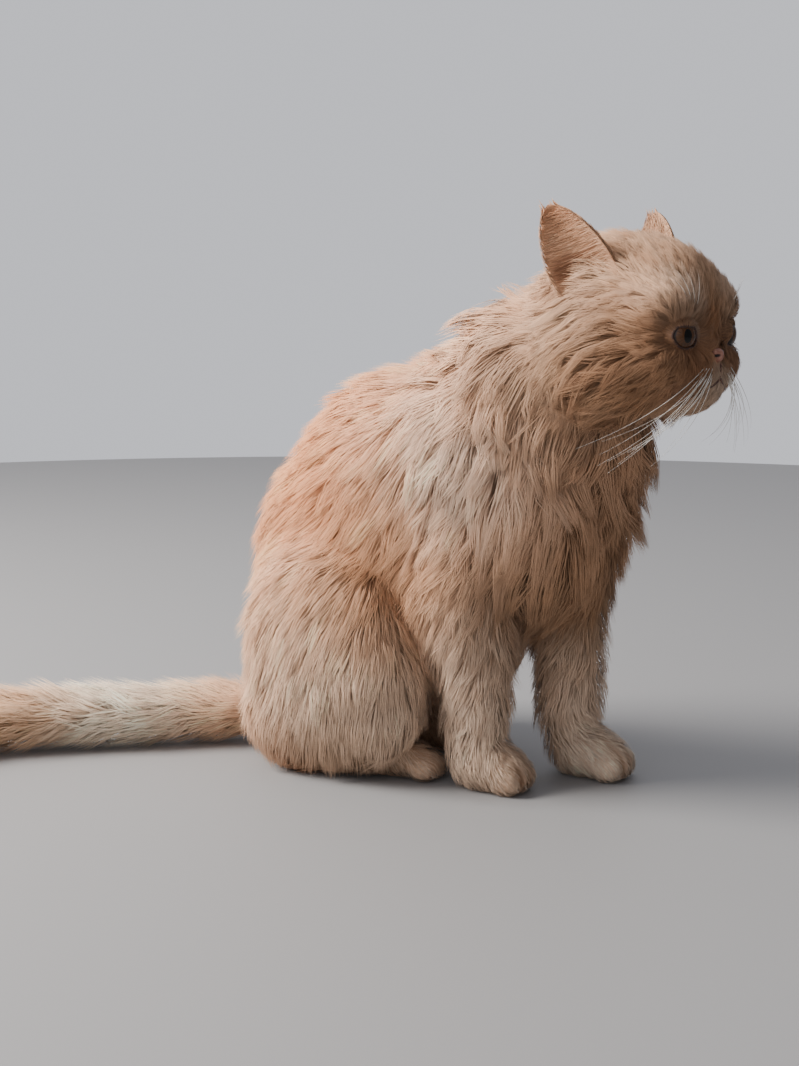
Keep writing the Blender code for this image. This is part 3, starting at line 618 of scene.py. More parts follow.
def ring_faces(rings, around, first):
    """Faces between rings of points, and fans that close both ends at one point each."""
    low, j = np.meshgrid(np.arange(rings - 1) * around, np.arange(around), indexing="ij")
    k, high = (j + 1) % around, low + around
    walls = np.stack([low + j, low + k, high + k, high + j], axis=-1)
    j, k, last = j[0], k[0], (rings - 1) * around
    start, end = np.full(around, rings * around), np.full(around, rings * around + 1)
    caps = np.stack([[k, j, start], [last + j, last + k, end]]).swapaxes(1, 2)
    return (walls.reshape(-1, 4) + first).tolist(), (caps.reshape(-1, 3) + first).tolist()


def ear_shell(side, first):
    """The ear's points and faces, to be joined to a mesh that already has that many points."""
    heights = np.linspace(EAR_FROM, EAR_TO, EAR_RINGS)
    rings = ear_place(side, *np.meshgrid(heights, turns(EAR_AROUND), indexing="ij"))
    poles = np.stack([rings[0].mean(axis=0), rings[-1].mean(axis=0)])
    points = np.concatenate([rings.reshape(-1, 3), poles])
    walls, caps = ring_faces(EAR_RINGS, EAR_AROUND, first)
    return points, walls + caps


def make_piece(name, points, faces, material):
    """An object of those points, in centimetres about the stand, turned into metres."""
    mesh = bpy.data.meshes.new(name)
    mesh.from_pydata(((np.asarray(points) + STAND) * CM).tolist(), [], faces)
    mesh.polygons.foreach_set("use_smooth", np.ones(len(mesh.polygons), bool))
    return add_object(name, mesh, material)


# %% [markdown]
# ## Markings
#
# The coat is a pale fawn and cream. Each marking is a place on the body, how far it spreads and
# its colour: the colour anywhere is the mean of them all, weighted by nearness. Some of them are
# painted shade, darkening the chest, bib, cheeks, muzzle and low haunch where the coat is out of
# the light, and one is painted light on the brow. The same formula colours the skin and every
# tuft, so that where the coat parts the colours agree.

# %% The colour of the coat at any place
# Place, spread in centimetres, colour and weight. Places are given for the cat's left, or its
# middle, and are mirrored.
MARKS_AND_PAINTED_LIGHT_AND_SHADE = [
    ((-4.0, 0.0, 22.0), 6.0, (0.95, 0.39, 0.17), 1.7),
    ((5.0, 0.0, 28.0), 6.0, (0.93, 0.47, 0.26), 1.4),
    ((-11.0, 0.0, 14.0), 5.0, (0.94, 0.46, 0.25), 1.0),
    ((-11.0, 0.0, 5.0), 4.0, (0.82, 0.37, 0.17), 1.0),
    ((-6.0, 5.0, 1.5), 2.6, (0.66, 0.29, 0.13), 1.0),
    ((8.0, 6.0, 24.5), 2.3, (1.0, 0.80, 0.64), 2.2),
    ((4.5, 6.0, 22.0), 3.5, (1.0, 0.68, 0.48), 1.0),
    ((2.8, 6.0, 19.5), 1.8, (0.90, 0.48, 0.26), 1.2),
    ((11.0, 4.5, 26.0), 4.0, (0.84, 0.58, 0.41), 1.0),
    ((2.0, 6.0, 14.8), 3.0, (0.68, 0.35, 0.17), 1.7),
    ((-3.0, 8.0, 9.5), 4.5, (1.0, 0.75, 0.56), 1.1),
    # Painted shade: the low haunch is darkened where it is out of the light.
    ((-1.3, 8.5, 2.8), 2.5, (0.50, 0.32, 0.20), 1.5),
    ((-7.0, 6.0, 11.0), 3.5, (0.95, 0.54, 0.32), 1.0),
    # Painted shade: the throat, bib and chest are darkened where they face away from the light.
    ((16.0, 0.0, 22.0), 4.5, (0.50, 0.28, 0.15), 1.0),
    ((13.0, 3.0, 15.0), 3.6, (0.34, 0.19, 0.10), 1.5),
    ((9.0, 3.5, 8.5), 4.0, (0.90, 0.67, 0.50), 1.3),
    ((9.5, 4.5, 1.5), 2.5, (0.74, 0.53, 0.38), 1.0),
    ((13.9, 1.4, 1.8), 1.8, (1.0, 0.80, 0.62), 1.5),
    ((14.0, 0.0, 35.0), 3.5, (0.68, 0.43, 0.27), 1.0),
    ((19.5, 0.0, 34.0), 2.6, (0.66, 0.42, 0.27), 1.0),
    ((18.0, 4.0, 32.0), 2.4, (0.60, 0.37, 0.23), 1.0),
    ((14.6, 5.7, 38.3), 0.9, (0.55, 0.29, 0.16), 1.6),
    # Painted shade: the cheeks are darkened where the face is turned from the light.
    ((17.0, 5.0, 28.5), 3.0, (0.31, 0.155, 0.07), 1.3),
    # Painted light: the brow over the eye is made paler where light falls on it from above.
    ((21.8, 2.5, 32.4), 0.8, (0.92, 0.70, 0.54), 0.9),
    ((19.8, 5.8, 29.4), 1.6, (0.31, 0.165, 0.085), 2.4),
    ((21.7, 3.0, 30.2), 0.75, (0.22, 0.11, 0.055), 3.0),
    # Painted shade: the muzzle below the nose is darkened where it is out of the light.
    ((22.5, 2.4, 27.6), 0.6, (0.34, 0.19, 0.12), 1.3),
    ((14.0, 5.5, 29.5), 2.4, (0.72, 0.50, 0.34), 1.0),
    ((21.9, 0.4, 27.9), 0.6, (0.76, 0.64, 0.53), 1.5),
    ((20.9, 0.0, 26.3), 1.1, (0.62, 0.46, 0.34), 1.0),
    ((22.0, 0.5, 30.2), 0.7, (0.44, 0.21, 0.10), 1.2),
    # Painted shade: the side of the muzzle is darkened where it is out of the light.
    ((22.2, 1.9, 29.0), 0.8, (0.30, 0.14, 0.07), 1.2),
]
# The tail lies on one side, so its marks aren't mirrored.
TAIL_MARKS = [
    ((-11.5, -1.8, 2.5), 3.5, (1.0, 0.72, 0.50), 1.2),
    ((-17.5, -6.5, 3.0), 3.2, (1.0, 0.84, 0.67), 1.8),
    ((-23.5, -11.0, 2.5), 3.0, (0.86, 0.54, 0.33), 1.0),
    ((-29.8, -19.0, 2.1), 4.0, (0.74, 0.42, 0.24), 1.0),
]
print(len(MARKS_AND_PAINTED_LIGHT_AND_SHADE), "marks on the body and", len(TAIL_MARKS), "on the tail")

# %% Bars, painted shade in clefts and ears, and the whole colour
# How much darker each of these makes the coat at the most, and the length of a wave of bars.
# The darkening of the clefts between the toes and of the opening of the ear is painted shade.
LEG_BARS, BROW_BARS, CHEEK_BAR, CLEFT_SHADE, EAR_OPENING_SHADE = 0.30, 0.22, 0.34, 0.62, 0.72
LEG_WAVE, BROW_WAVE = 2.1, 1.7
# The height along the ear and the turn round it of the middle of its opening, and its spread.
EAR_OPENING, EAR_OPENING_SPREAD = (np.array(0.08), np.array(1.8)), 0.9
# How far ahead of the leg the clefts between the toes begin, and the height below which they are.
CLEFT_FROM, CLEFT_BELOW = 1.7, 1.5
# The darker a coat, the redder it is: the powers of red, green and blue.
REDDENING = (1.0, 1.3, 1.5)
LEAST = 1e-9


def spreads(value, middle, spread, power=2):
    """How many spreads a value is from the middle, to a power."""
    return ((value - middle) / spread) ** power


def bars(value, length):
    """The upper halves of a wave of that length, and nothing between."""
    return np.maximum(np.sin(2 * math.pi * value / length), 0)


def bars_and_painted_shade(points):
    """Faint bars: on the fore legs a wave in height, on the brow and cheek one across, each kept to its
    place by how near it is. The clefts between the toes and the opening of the ear are darkened as well, as
    painted shade. From 1 where there is none of these down to about a quarter."""
    x, y, z = points.T
    out = np.abs(y)
    leg = np.exp(-(spreads(x, 9.5, 4.5) + spreads(out, 3.5, 3.5) + spreads(z, 11.5, 4.5, 4)))
    leg *= bars(z + 0.35 * x, LEG_WAVE)
    brow = np.exp(-(spreads(x, 18.5, 3.0) + spreads(z, 34.0, 2.2)))
    brow *= bars(y + 0.3 * x, BROW_WAVE)
    cheek = np.exp(-(spreads(x, 17.0, 2.6) + spreads(out, 5.0, 2.5)))
    cheek *= np.exp(-spreads(z - 28.6, 0.22 * (x - 17.0), 0.45))
    cleft = ear = 0.0
    for side in SIDES:
        across = (y - FORE_Y[side]) / TOE_APART
        toe = np.exp(-spreads(across, np.round(across), 0.2)) * (np.abs(across) < max(TOE_ROW))
        ahead = 1 / (1 + np.exp(-4 * (x - FORE_X[side] - PAW_AHEAD[side] - CLEFT_FROM)))
        cleft = cleft + toe * ahead * np.exp(-np.maximum(z - CLEFT_BELOW, 0))
        from_opening = ((points - ear_place(side, *EAR_OPENING)) ** 2).sum(axis=1)
        ear = ear + np.exp(-from_opening / EAR_OPENING_SPREAD)
    dark = ((LEG_BARS, leg), (BROW_BARS, brow), (CHEEK_BAR, cheek), (CLEFT_SHADE, cleft), (EAR_OPENING_SHADE, ear))
    light = 1
    for most, where in dark:
        light = light - most * where
    return light


def nearness(points, place, spread, weight):
    """The weight times e to the minus squared distance over twice the squared spread."""
    return weight * np.exp(-((points - place) ** 2).sum(axis=1) / (2 * spread**2)) + LEAST


def coat_colour(points):
    """The mean of the marks' colours, painted shade and painted light among them, each weighted by
    nearness, with the faint bars and the painted shade of the toe clefts and ear openings over it.
    """
    total = np.full(len(points), LEAST)
    colour = np.zeros((len(points), 3))
    for mark in MARKS_AND_PAINTED_LIGHT_AND_SHADE + TAIL_MARKS:
        at, spread, tint, weight = mark
        for side in (1,) if mark in TAIL_MARKS or at[1] == 0 else (1, -1):
            w = nearness(points, on_side(at, side), spread, weight)
            total += w
            colour += w[:, None] * np.array(tint)
    return colour / total[:, None] * bars_and_painted_shade(points)[:, None] ** REDDENING


print("colour at the middle of the back", coat_colour(np.array([MARKS_AND_PAINTED_LIGHT_AND_SHADE[0][0]])).round(2)[0])


# %% Make the skin
def add_values(mesh, name, kind, field, values):
    """Stores a value for each point of a mesh, under a name that the materials read."""
    layer = mesh.attributes.new(name, kind, "POINT")
    layer.data.foreach_set(field, np.asarray(values, float).ravel())


def paint(mesh, colours):
    """Stores the colour of the coat for each point of a mesh."""
    opaque = np.concatenate([colours, np.ones((len(colours), 1))], axis=1)
    add_values(mesh, "coat", "FLOAT_COLOR", "color", opaque)


def read_attribute(tree, name, output):
    return add_node(tree, "ShaderNodeAttribute", {"attribute_name": name}, {}).outputs[output]


skin_material, tree = new_material("skin", 0.75)
mottle = noise(tree, 900.0, 4.0)
colour = mixed(tree, "MULTIPLY", 1.0, read_attribute(tree, "coat", "Color"), (0.88, 0.80, 0.74))
coloured(tree, mixed(tree, "MULTIPLY", mottle.step(0.35, 0.65) * 0.35, colour, (0.70, 0.55, 0.45)))
bumped(tree, mottle, 0.6, 0.0008)

points, faces = skin_points, skin_faces.tolist()
for side in SIDES:
    shell, walls = ear_shell(side, len(points))
    points = np.concatenate([points, shell])
    faces += walls
skin = make_piece("skin", points, faces, skin_material)
paint(skin.data, coat_colour(points))
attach(skin, "root")
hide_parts(*[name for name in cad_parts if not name.startswith("eye")])
print("skin with ears:", len(points), "points")

# %% [markdown]
# ## Eyes and lids
#
# The eye is a ball with a bulge in front, the cornea. Its iris is copper with a darker rim, its
# darkness partly painted shade from the brow over it, and the pupil is an upright oval. The lids
# are a ring with a rounded rim that fits over the ball and leaves an opening: nearly round, drawn
# out to a corner towards the nose, where tears run. The ring's other edge is buried in the skin,
# which is why the eye looks set into the head.

# %% The opening of the eye
EYE_RADIUS = 1.12
EYE_CENTRE = (21.65, 2.65, 30.35)
EYE_FACING = math.radians(28.0)
# How far the opening reaches in degrees, and for both corners how much more, at which turn
# round the eye and how far that spreads. The upper lid is drawn straight across, this high.
OPENING, CORNERS = 38, ((7, 0.0, 0.45), (21, math.pi + 0.6, 0.33))
UPPER_LID, LEAST_OPENING = 0.42, 0.45


def eye_axes(side):
    """The eye's centre, and its ways forwards, across towards the cheek, and up."""
    c, s = math.cos(EYE_FACING), math.sin(EYE_FACING)
    forwards, across = head_way((c, side * s, 0.0)), head_way((-s, side * c, 0.0))
    return on_side(EYE_CENTRE, side), forwards, across, np.array([0.0, 0.0, 1.0])


def opening_angle(turn):
    """How far from the eye's axis its opening reaches, by the turn round it: 38 degrees, more at
    the outer corner and most at the corner near the nose, and less at the top."""

    def near(middle, spread):
        return np.exp(-(((turn - middle + math.pi) % (2 * math.pi) - math.pi) / spread) ** 2)

    angle = np.radians(sum((more * near(middle, spread) for more, middle, spread in CORNERS), OPENING))
    level = np.arcsin(np.clip(UPPER_LID / np.maximum(np.sin(turn), 1e-3), 0, 1))
    return np.where(np.sin(turn) > 0, np.minimum(angle, np.maximum(level, LEAST_OPENING)), angle)


def eye_view(points, side):
    """For points: their distance from the eye's centre, angle from its axis, and turn round it."""
    centre, forwards, across, up = eye_axes(side)
    q = points - centre
    far = np.linalg.norm(q, axis=-1)
    angle = np.arccos(np.clip(q @ forwards / np.maximum(far, 1e-6), -1, 1))
    return far, angle, np.arctan2(q @ up, q @ across)


def eye_place(side, radius, angle, turn):
    """The point at that distance, angle from the axis and turn round it."""
    centre, forwards, across, up = eye_axes(side)
    round_way = np.cos(turn)[..., None] * across + np.sin(turn)[..., None] * up
    way = np.cos(angle)[..., None] * forwards + np.sin(angle)[..., None] * round_way
    return centre + radius[..., None] * way


across_eye = 2 * EYE_RADIUS * math.sin(float(opening_angle(np.array(0.0))))
print("the opening of an eye is about", round(across_eye, 2), "cm wide")


# %% Make the eyeballs
def outward_faces(mesh):
    """Turns the faces of a closed mesh outwards."""
    work = bmesh.new()
    work.from_mesh(mesh)
    bmesh.ops.recalc_face_normals(work, faces=work.faces)
    work.to_mesh(mesh)
    work.free()


EYE_RINGS, EYE_AROUND = 48, 64
# How far the cornea rises, in eye radii, and how far from the axis that spreads.
CORNEA_RISE, CORNEA_SPREAD = 0.045, 0.75
# The angle from the axis to the pupil's edge, and the half sizes that make it an upright oval.
PUPIL_ANGLE, PUPIL_WIDE, PUPIL_HIGH = 0.30, 0.78, 1.25
wet = {"Specular_IOR_Level": 0.15, "Coat_Weight": 0.45, "Coat_Roughness": 0.02}
eye_material, tree = new_material("wet_eye", 0.12, **wet)
angle = Flow(tree, read_attribute(tree, "from_axis", "Fac"))
oval = Flow(tree, read_attribute(tree, "pupil", "Fac"))
spoke = read_attribute(tree, "spoke", "Vector")
threads = noise(tree, 11.0, 5.0, spoke)
rays = noise(tree, 3.0, 2.0, spoke)
# The iris is dark copper, its darkness partly painted shade from the brow over it, with threads
# and rays from the pupil outwards, a warmer collar round the pupil and a dark rim.
iris = mixed(tree, "MIX", threads.step(0.32, 0.68), (0.040, 0.015, 0.006), (0.120, 0.045, 0.014))
warm = mixed(tree, "MIX", rays.step(0.4, 0.65) * 0.5, iris, (0.095, 0.044, 0.016))
collar = mixed(tree, "MIX", (1 - angle.step(0.30, 0.46)) * 0.6, warm, (0.10, 0.04, 0.015))
rim = mixed(tree, "MIX", angle.step(0.60, 0.72), collar, (0.02, 0.011, 0.008))
coloured(tree, mixed(tree, "MIX", 1 - oval.step(0.92, 1.08), rim, (0.003, 0.0025, 0.0025)))


def ball_angles(rings, around):
    """The angles from the axis and the turns round it of a ball's rings, but for its two poles."""
    return np.meshgrid(np.linspace(0, math.pi, rings + 2)[1:-1], turns(around), indexing="ij")


for side, name in SIDES.items():
    a, b = ball_angles(EYE_RINGS, EYE_AROUND)
    bulge = EYE_RADIUS * (1 + CORNEA_RISE * np.exp(-((a / CORNEA_SPREAD) ** 4)))
    ball = eye_place(side, bulge, a, b).reshape(-1, 3)
    centre, forwards, across, up = eye_axes(side)
    poles = [centre + (1 + CORNEA_RISE) * EYE_RADIUS * forwards, centre - EYE_RADIUS * forwards]
    walls, caps = ring_faces(EYE_RINGS, EYE_AROUND, 0)
    piece = make_piece(f"eyeball_{name}", np.concatenate([ball, poles]), walls + caps, eye_material)
    outward_faces(piece.data)
    flat = a / PUPIL_ANGLE * np.sqrt((np.cos(b) / PUPIL_WIDE) ** 2 + (np.sin(b) / PUPIL_HIGH) ** 2)
    add_values(piece.data, "from_axis", "FLOAT", "value", [*a.ravel(), 0.0, math.pi])
    add_values(piece.data, "pupil", "FLOAT", "value", [*flat.ravel(), 0.0, 9.0])
    ways = np.stack([np.cos(b), np.sin(b), 0.15 * a], axis=-1).reshape(-1, 3)
    add_values(piece.data, "spoke", "FLOAT_VECTOR", "vector", [*ways, (0, 0, 0), (0, 0, 1)])
    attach(piece, "root")
    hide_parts(f"eye_{name}")
print("two eyeballs of radius", EYE_RADIUS, "cm")

# %% Make the lids
# The lid's section goes out over the ball, from the rim to where the skin hides it, and back
# along the ball: each row is a share of the way to the far edge, and a height above the ball.
LID_SECTION = [(0.0, -0.03), (0.0, 0.02), (0.015, 0.05), (0.05, 0.065), (0.1, 0.07), (0.2, 0.075)]
LID_SECTION += [(0.35, 0.08), (0.55, 0.07), (0.8, 0.03), (1.0, -0.06), (0.7, -0.1), (0.3, -0.08)]
LID_END = math.radians(104)
LID_AROUND = 72
LID_RADIUS = EYE_RADIUS * 1.03
material, tree = new_material("lid", 0.42)
share = Flow(tree, read_attribute(tree, "from_rim", "Fac"))
pores = noise(tree, 2600.0, 3.0)
bare = mixed(tree, "MIX", pores.step(0.35, 0.65) * 0.5, (0.045, 0.020, 0.014), (0.09, 0.040, 0.026))
coloured(tree, mixed(tree, "MIX", share.step(0.04, 0.14), bare, (0.22, 0.11, 0.06)))
bumped(tree, pores, 0.35, 0.0003)
for side, name in SIDES.items():
    section, count = np.array(LID_SECTION), len(LID_SECTION)
    s, turn = np.meshgrid(np.arange(count), turns(LID_AROUND), indexing="ij")
    start = opening_angle(turn)
    angle = start + section[s, 0] * (LID_END - start)
    rings = eye_place(side, LID_RADIUS + section[s, 1], angle, turn)
    low, j = np.meshgrid(np.arange(count) * LID_AROUND, np.arange(LID_AROUND), indexing="ij")
    high, k = (low + LID_AROUND) % (count * LID_AROUND), (j + 1) % LID_AROUND
    quads = np.stack([low + j, low + k, high + k, high + j], axis=-1)
    piece = make_piece(f"lids_{name}", rings.reshape(-1, 3), quads.reshape(-1, 4).tolist(), material)
    outward_faces(piece.data)
    add_values(piece.data, "from_rim", "FLOAT", "value", section[s, 0])
    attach(piece, "root")
print("lids round openings of", round(math.degrees(float(opening_angle(np.array(0.0))))), "degrees")

# %% [markdown]
# ## The lie of the coat
#
# Hair lies one way at each place: up and back from the nose and brow, down the cheeks, down and
# forwards on the chest, back and down over the haunches and along the tail. A few places with
# their ways, and the mean of them weighted by nearness, give the way at every root.

# %% The way the coat runs
# Each is a place, the way there, how far it spreads in centimetres, and its weight.
LIE = [
    ((8.0, 0.0, 31.0), (-0.75, 0.0, -0.65), 2.8, 1),
    ((1.0, 0.0, 28.0), (-0.85, 0.0, -0.5), 2.8, 1),
    ((-6.0, 0.0, 23.0), (-0.65, 0.0, -0.75), 2.8, 1),
    ((-11.0, 0.0, 15.0), (-0.3, 0.0, -1.0), 2.8, 1),
    ((-11.5, 1.5, 5.0), (-0.5, 0.2, -1.0), 2.8, 1),
    ((6.0, 6.0, 22.0), (-0.35, 0.1, -0.9), 2.8, 1),
    ((-1.0, 6.5, 15.0), (-0.5, 0.1, -0.85), 2.8, 1),
    ((16.0, 0.5, 18.0), (-0.15, 0.1, -1.0), 2.8, 1),
    ((12.0, 2.0, 13.0), (-0.45, 0.0, -0.9), 2.8, 1),
    ((17.5, 0.5, 23.0), (0.15, 0.15, -1.0), 2.8, 1),
    ((12.5, 6.0, 25.0), (0.3, 0.25, -0.95), 2.8, 1),
    ((18.8, 4.4, 28.0), (-0.75, 0.45, -0.5), 2.2, 1),
    ((15.5, 5.5, 30.0), (-0.85, 0.3, -0.4), 2.4, 1),
    ((14.5, 5.0, 26.5), (-0.5, 0.4, -0.8), 2.4, 1),
    ((14.0, 0.0, 36.0), (-0.95, 0.0, -0.1), 2.4, 1),
    ((20.5, 0.0, 34.0), (-0.5, 0.0, 0.85), 2.0, 1),
    ((22.2, 0.3, 31.0), (-0.3, 0.0, 0.95), 0.9, 3),
    ((21.6, 2.8, 31.9), (-0.6, 0.25, 0.75), 0.9, 3),
    ((20.6, 4.2, 30.6), (-0.9, 0.35, 0.05), 0.9, 3),
    ((22.2, 2.6, 29.0), (-0.65, 0.45, -0.6), 0.9, 3),
    ((22.7, 1.0, 27.9), (-0.35, 0.6, -0.7), 0.8, 3),
    ((21.0, 0.4, 26.2), (-0.6, 0.15, -0.8), 1.0, 2),
    ((-4.0, 8.0, 13.0), (-0.35, 0.1, -0.95), 2.8, 1),
    ((-1.0, 8.0, 9.0), (0.05, 0.1, -1.0), 2.4, 1),
    ((-5.0, 8.0, 6.0), (-0.15, 0.1, -1.0), 2.6, 1),
    ((-2.0, 7.0, 2.0), (0.0, 0.4, -0.9), 2.8, 1),
    ((8.0, 4.0, 8.0), (-0.15, 0.0, -1.0), 2.8, 1),
    ((13.5, 3.0, 1.5), (0.8, 0.0, -0.6), 1.8, 2),
    ((4.0, 3.6, 1.2), (0.8, 0.0, -0.5), 1.8, 2),
]
fine_tail = smooth_path(TAIL_PATH, 60)
# Round an eye the coat lies away from it, from a little in front of its centre: how much that
# weighs, how far it holds and how it fades.
EYE_LIE, EYE_LIE_AHEAD, EYE_LIE_HOLDS, EYE_LIE_FADES = 4, 0.4, 1.2, 0.7


def lie_of_coat(points, on_tail):
    """The mean way of the places above, or the tail's own way on the tail."""
    if on_tail:
        near = ((points[:, None] - fine_tail[None]) ** 2).sum(axis=-1).argmin(axis=1)
        near = np.clip(near, 0, len(fine_tail) - 2)
        total = fine_tail[near + 1] - fine_tail[near]
    else:
        total = np.zeros_like(points)
        for place, way, spread, weight in LIE:
            for side in (1, -1):
                w = nearness(points, on_side(place, side), spread, weight)
                total += w[:, None] * sided(way, side)
        for side in SIDES:
            centre, forwards = eye_axes(side)[:2]
            away = points - centre
            away = away - (away @ forwards)[:, None] * forwards
            far = np.linalg.norm(points - centre - EYE_LIE_AHEAD * forwards, axis=1)
            w = EYE_LIE * np.exp(-np.maximum(far - EYE_LIE_HOLDS, 0) ** 2 / (2 * EYE_LIE_FADES**2))
            total += w[:, None] * away / np.maximum(np.linalg.norm(away, axis=1, keepdims=True), 0.3)
    return unit(total)


print(len(LIE), "places give the coat's lie, and a path of", len(fine_tail), "points gives the tail's")

# %% [markdown]
# ## The coat
#
# Each tuft is a thin closed form of three sides that tapers to a point. It starts on the skin,
# runs along the lie and rises through the coat's depth, so that the tufts overlap like thatch.
# Tufts near one another lean towards a leader, which draws them into locks, as the natural
# oil in real fur does. Long fur gets long tufts, and the face and the feet get the smallest.
# Fur is soft to the light because each hair is lit from many sides, so the tufts borrow some of
# the skin's own way out for their shading.

# %% Lay out the path of a tuft
# Where along a tuft its points lie, and how thick it is at all but the last: bent once, or twice
# for the long coat of the neck.
ONE_BEND = (np.array([0.0, 0.5, 1.0]), np.array([0.85, 0.95]))
TWO_BENDS = (np.array([0.0, 0.35, 0.7, 1.0]), np.array([0.8, 1.0, 0.7]))
# How much of the skin's own way out a tuft borrows for its shading.
SOFTNESS = 0.7
# The share of the coat's depth at a root, the power by which a tuft rises to its top, the
# farthest that one step may move it up or down, how much it keeps its course and how much of
# its lean it has at the root.
ROOT_SHARE, RISE, MOST_SETTLING, KEEPS_COURSE, ROOT_LEAN = -0.04, 0.6, 1.2, 0.7, 0.4


def across_to(way, normal):
    """The way turned to lie in the surface."""
    way = way - (way * normal).sum(axis=1, keepdims=True) * normal
    return way / np.maximum(np.linalg.norm(way, axis=1, keepdims=True), 1e-6)


def tuft_paths(roots, steps, length, top, lean, on_tail):
    """The points along each tuft: each step goes on along the lie and settles at its share."""
    places, normals = [], []
    p = roots
    normal = outwards(p)
    way = across_to(lie_of_coat(p, on_tail), normal)
    for i, t in enumerate(steps):
        if i:
            p = p + way * (length * (t - steps[i - 1]))[:, None]
        share = np.where(t == 0, ROOT_SHARE, top * t**RISE)
        normal = outwards(p)
        p = p - normal * np.clip(at_share(p, share), -MOST_SETTLING, MOST_SETTLING)[:, None]
        fresh = across_to(lie_of_coat(p, on_tail) + KEEPS_COURSE * way, normal)
        side = np.cross(normal, fresh)
        way = across_to(fresh + side * (lean * (ROOT_LEAN + t))[:, None], normal)
        places.append(p)
        normals.append(normal)
    return np.stack(places, axis=1), np.stack(normals, axis=1)


print("a tuft has", len(ONE_BEND[0]), "points along it, and on the neck", len(TWO_BENDS[0]))

# %% Draw tufts into locks
# How many roots are compared with their leaders at a time, to save memory.
BLOCK = 1000
# How much of their distance tufts lose by the tip, and the power by which they draw together.
LOST_APART, DRAWING = 0.8, 1.3


def nearest_leader(roots, each, chance):
    """For each root the nearest of a few chosen ones, one for each so many tufts."""
    count = len(roots)
    leaders = chance.permutation(count)[: max(count // each, 1)]
    nearest = np.empty(count, int)
    for start in range(0, count, BLOCK):
        block = roots[start : start + BLOCK, None] - roots[None, leaders]
        nearest[start : start + BLOCK] = leaders[(block**2).sum(axis=-1).argmin(axis=1)]
    return nearest


def drawn_together(paths, steps, nearest, clump):
    """Each path moved towards its leader's, more and more towards the tip."""
    roots = paths[:, 0]
    apart = roots - roots[nearest]
    drawn = paths[nearest] + apart[:, None] * (1 - LOST_APART * steps)[None, :, None]
    share = clump[:, None, None] * (steps**DRAWING)[None, :, None]
    return (1 - share) * paths + share * drawn


# %% Give a tuft three sides
# The corners of a tuft's section, across and up, in half widths.
SECTION = ((-1.0, -0.25), (1.0, -0.25), (0.0, 0.5))


def three_sided(paths, normals, width, profile, softness=SOFTNESS):
    """Each path given three sides: the points round it, and the soft ways out to shade them by."""
    count, rings = len(paths), len(profile)
    ahead = unit(np.gradient(paths, axis=1))
    side = unit(np.cross(normals, ahead))
    up = np.cross(ahead, side)
    half = width[:, None] * profile[None] / 2
    rows, ways = [], []
    for dx, dz in SECTION:
        offset = dx * side[:, :rings] + dz * up[:, :rings]
        rows.append(paths[:, :rings] + half[..., None] * offset)
        ways.append(unit((1 - softness) * unit(offset) + softness * normals[:, :rings]))
    ring = np.stack(rows, axis=2).reshape(count, 3 * rings, 3)
    soft = np.stack(ways, axis=2).reshape(count, 3 * rings, 3)
    tip = unit((1 - softness) * ahead[:, rings:] + softness * normals[:, rings:])
    return np.concatenate([ring, paths[:, rings:]], axis=1), np.concatenate([soft, tip], axis=1)


def tuft_faces(rings):
    """A tuft's triangles, and where each of their corners lies on its small patch of the map."""
    triangles, patch = [(0, 2, 1)], [(0.0, 0.0), (0.67, 0.0), (0.33, 0.0)]
    for ring in range(rings - 1):
        for k in range(3):
            m, low = (k + 1) % 3, 3 * ring
            a, b, c, d = low + k, low + m, low + 3 + m, low + 3 + k
            left, right, near, far = k / 3, (k + 1) / 3, ring / rings, (ring + 1) / rings
            triangles += [(a, b, c), (a, c, d)]
            patch += [(left, near), (right, near), (right, far), (left, near), (right, far), (left, far)]
    for k in range(3):
        triangles.append((3 * rings - 3 + k, 3 * rings - 3 + (k + 1) % 3, 3 * rings))
        patch += [(k / 3, 0.67), ((k + 1) / 3, 0.67), ((k + 0.5) / 3, 1.0)]
    return np.array(triangles), np.array(patch)


print("a tuft has", len(tuft_faces(len(ONE_BEND[1]))[0]), "triangles, and on the neck", end=" ")
print(len(tuft_faces(len(TWO_BENDS[1]))[0]))

# %% Put tufts into a mesh with a map
# The size of a tuft's patch on the map of its piece, the map's margin and its extent.
PATCH, MAP_MARGIN, MAP_EXTENT = 0.003, 0.01, 0.975


def unwrapped(roots, axis):
    """Each root's place on an unwrap: its angle about the axis and how far it is along it."""
    axis = unit(np.asarray(axis, float))
    side = unit(np.cross(axis, (0.0, 1.0, 0.0) if abs(axis[1]) < 0.9 else (1.0, 0.0, 0.0)))
    q = roots - roots.mean(axis=0)
    angle = np.arctan2(q @ np.cross(axis, side), q @ side) / (2 * math.pi) + 0.5
    along = q @ axis
    along = (along - along.min()) / max(float(np.ptp(along)), 1e-6)
    return MAP_MARGIN + MAP_EXTENT * np.stack([angle, along], axis=1)


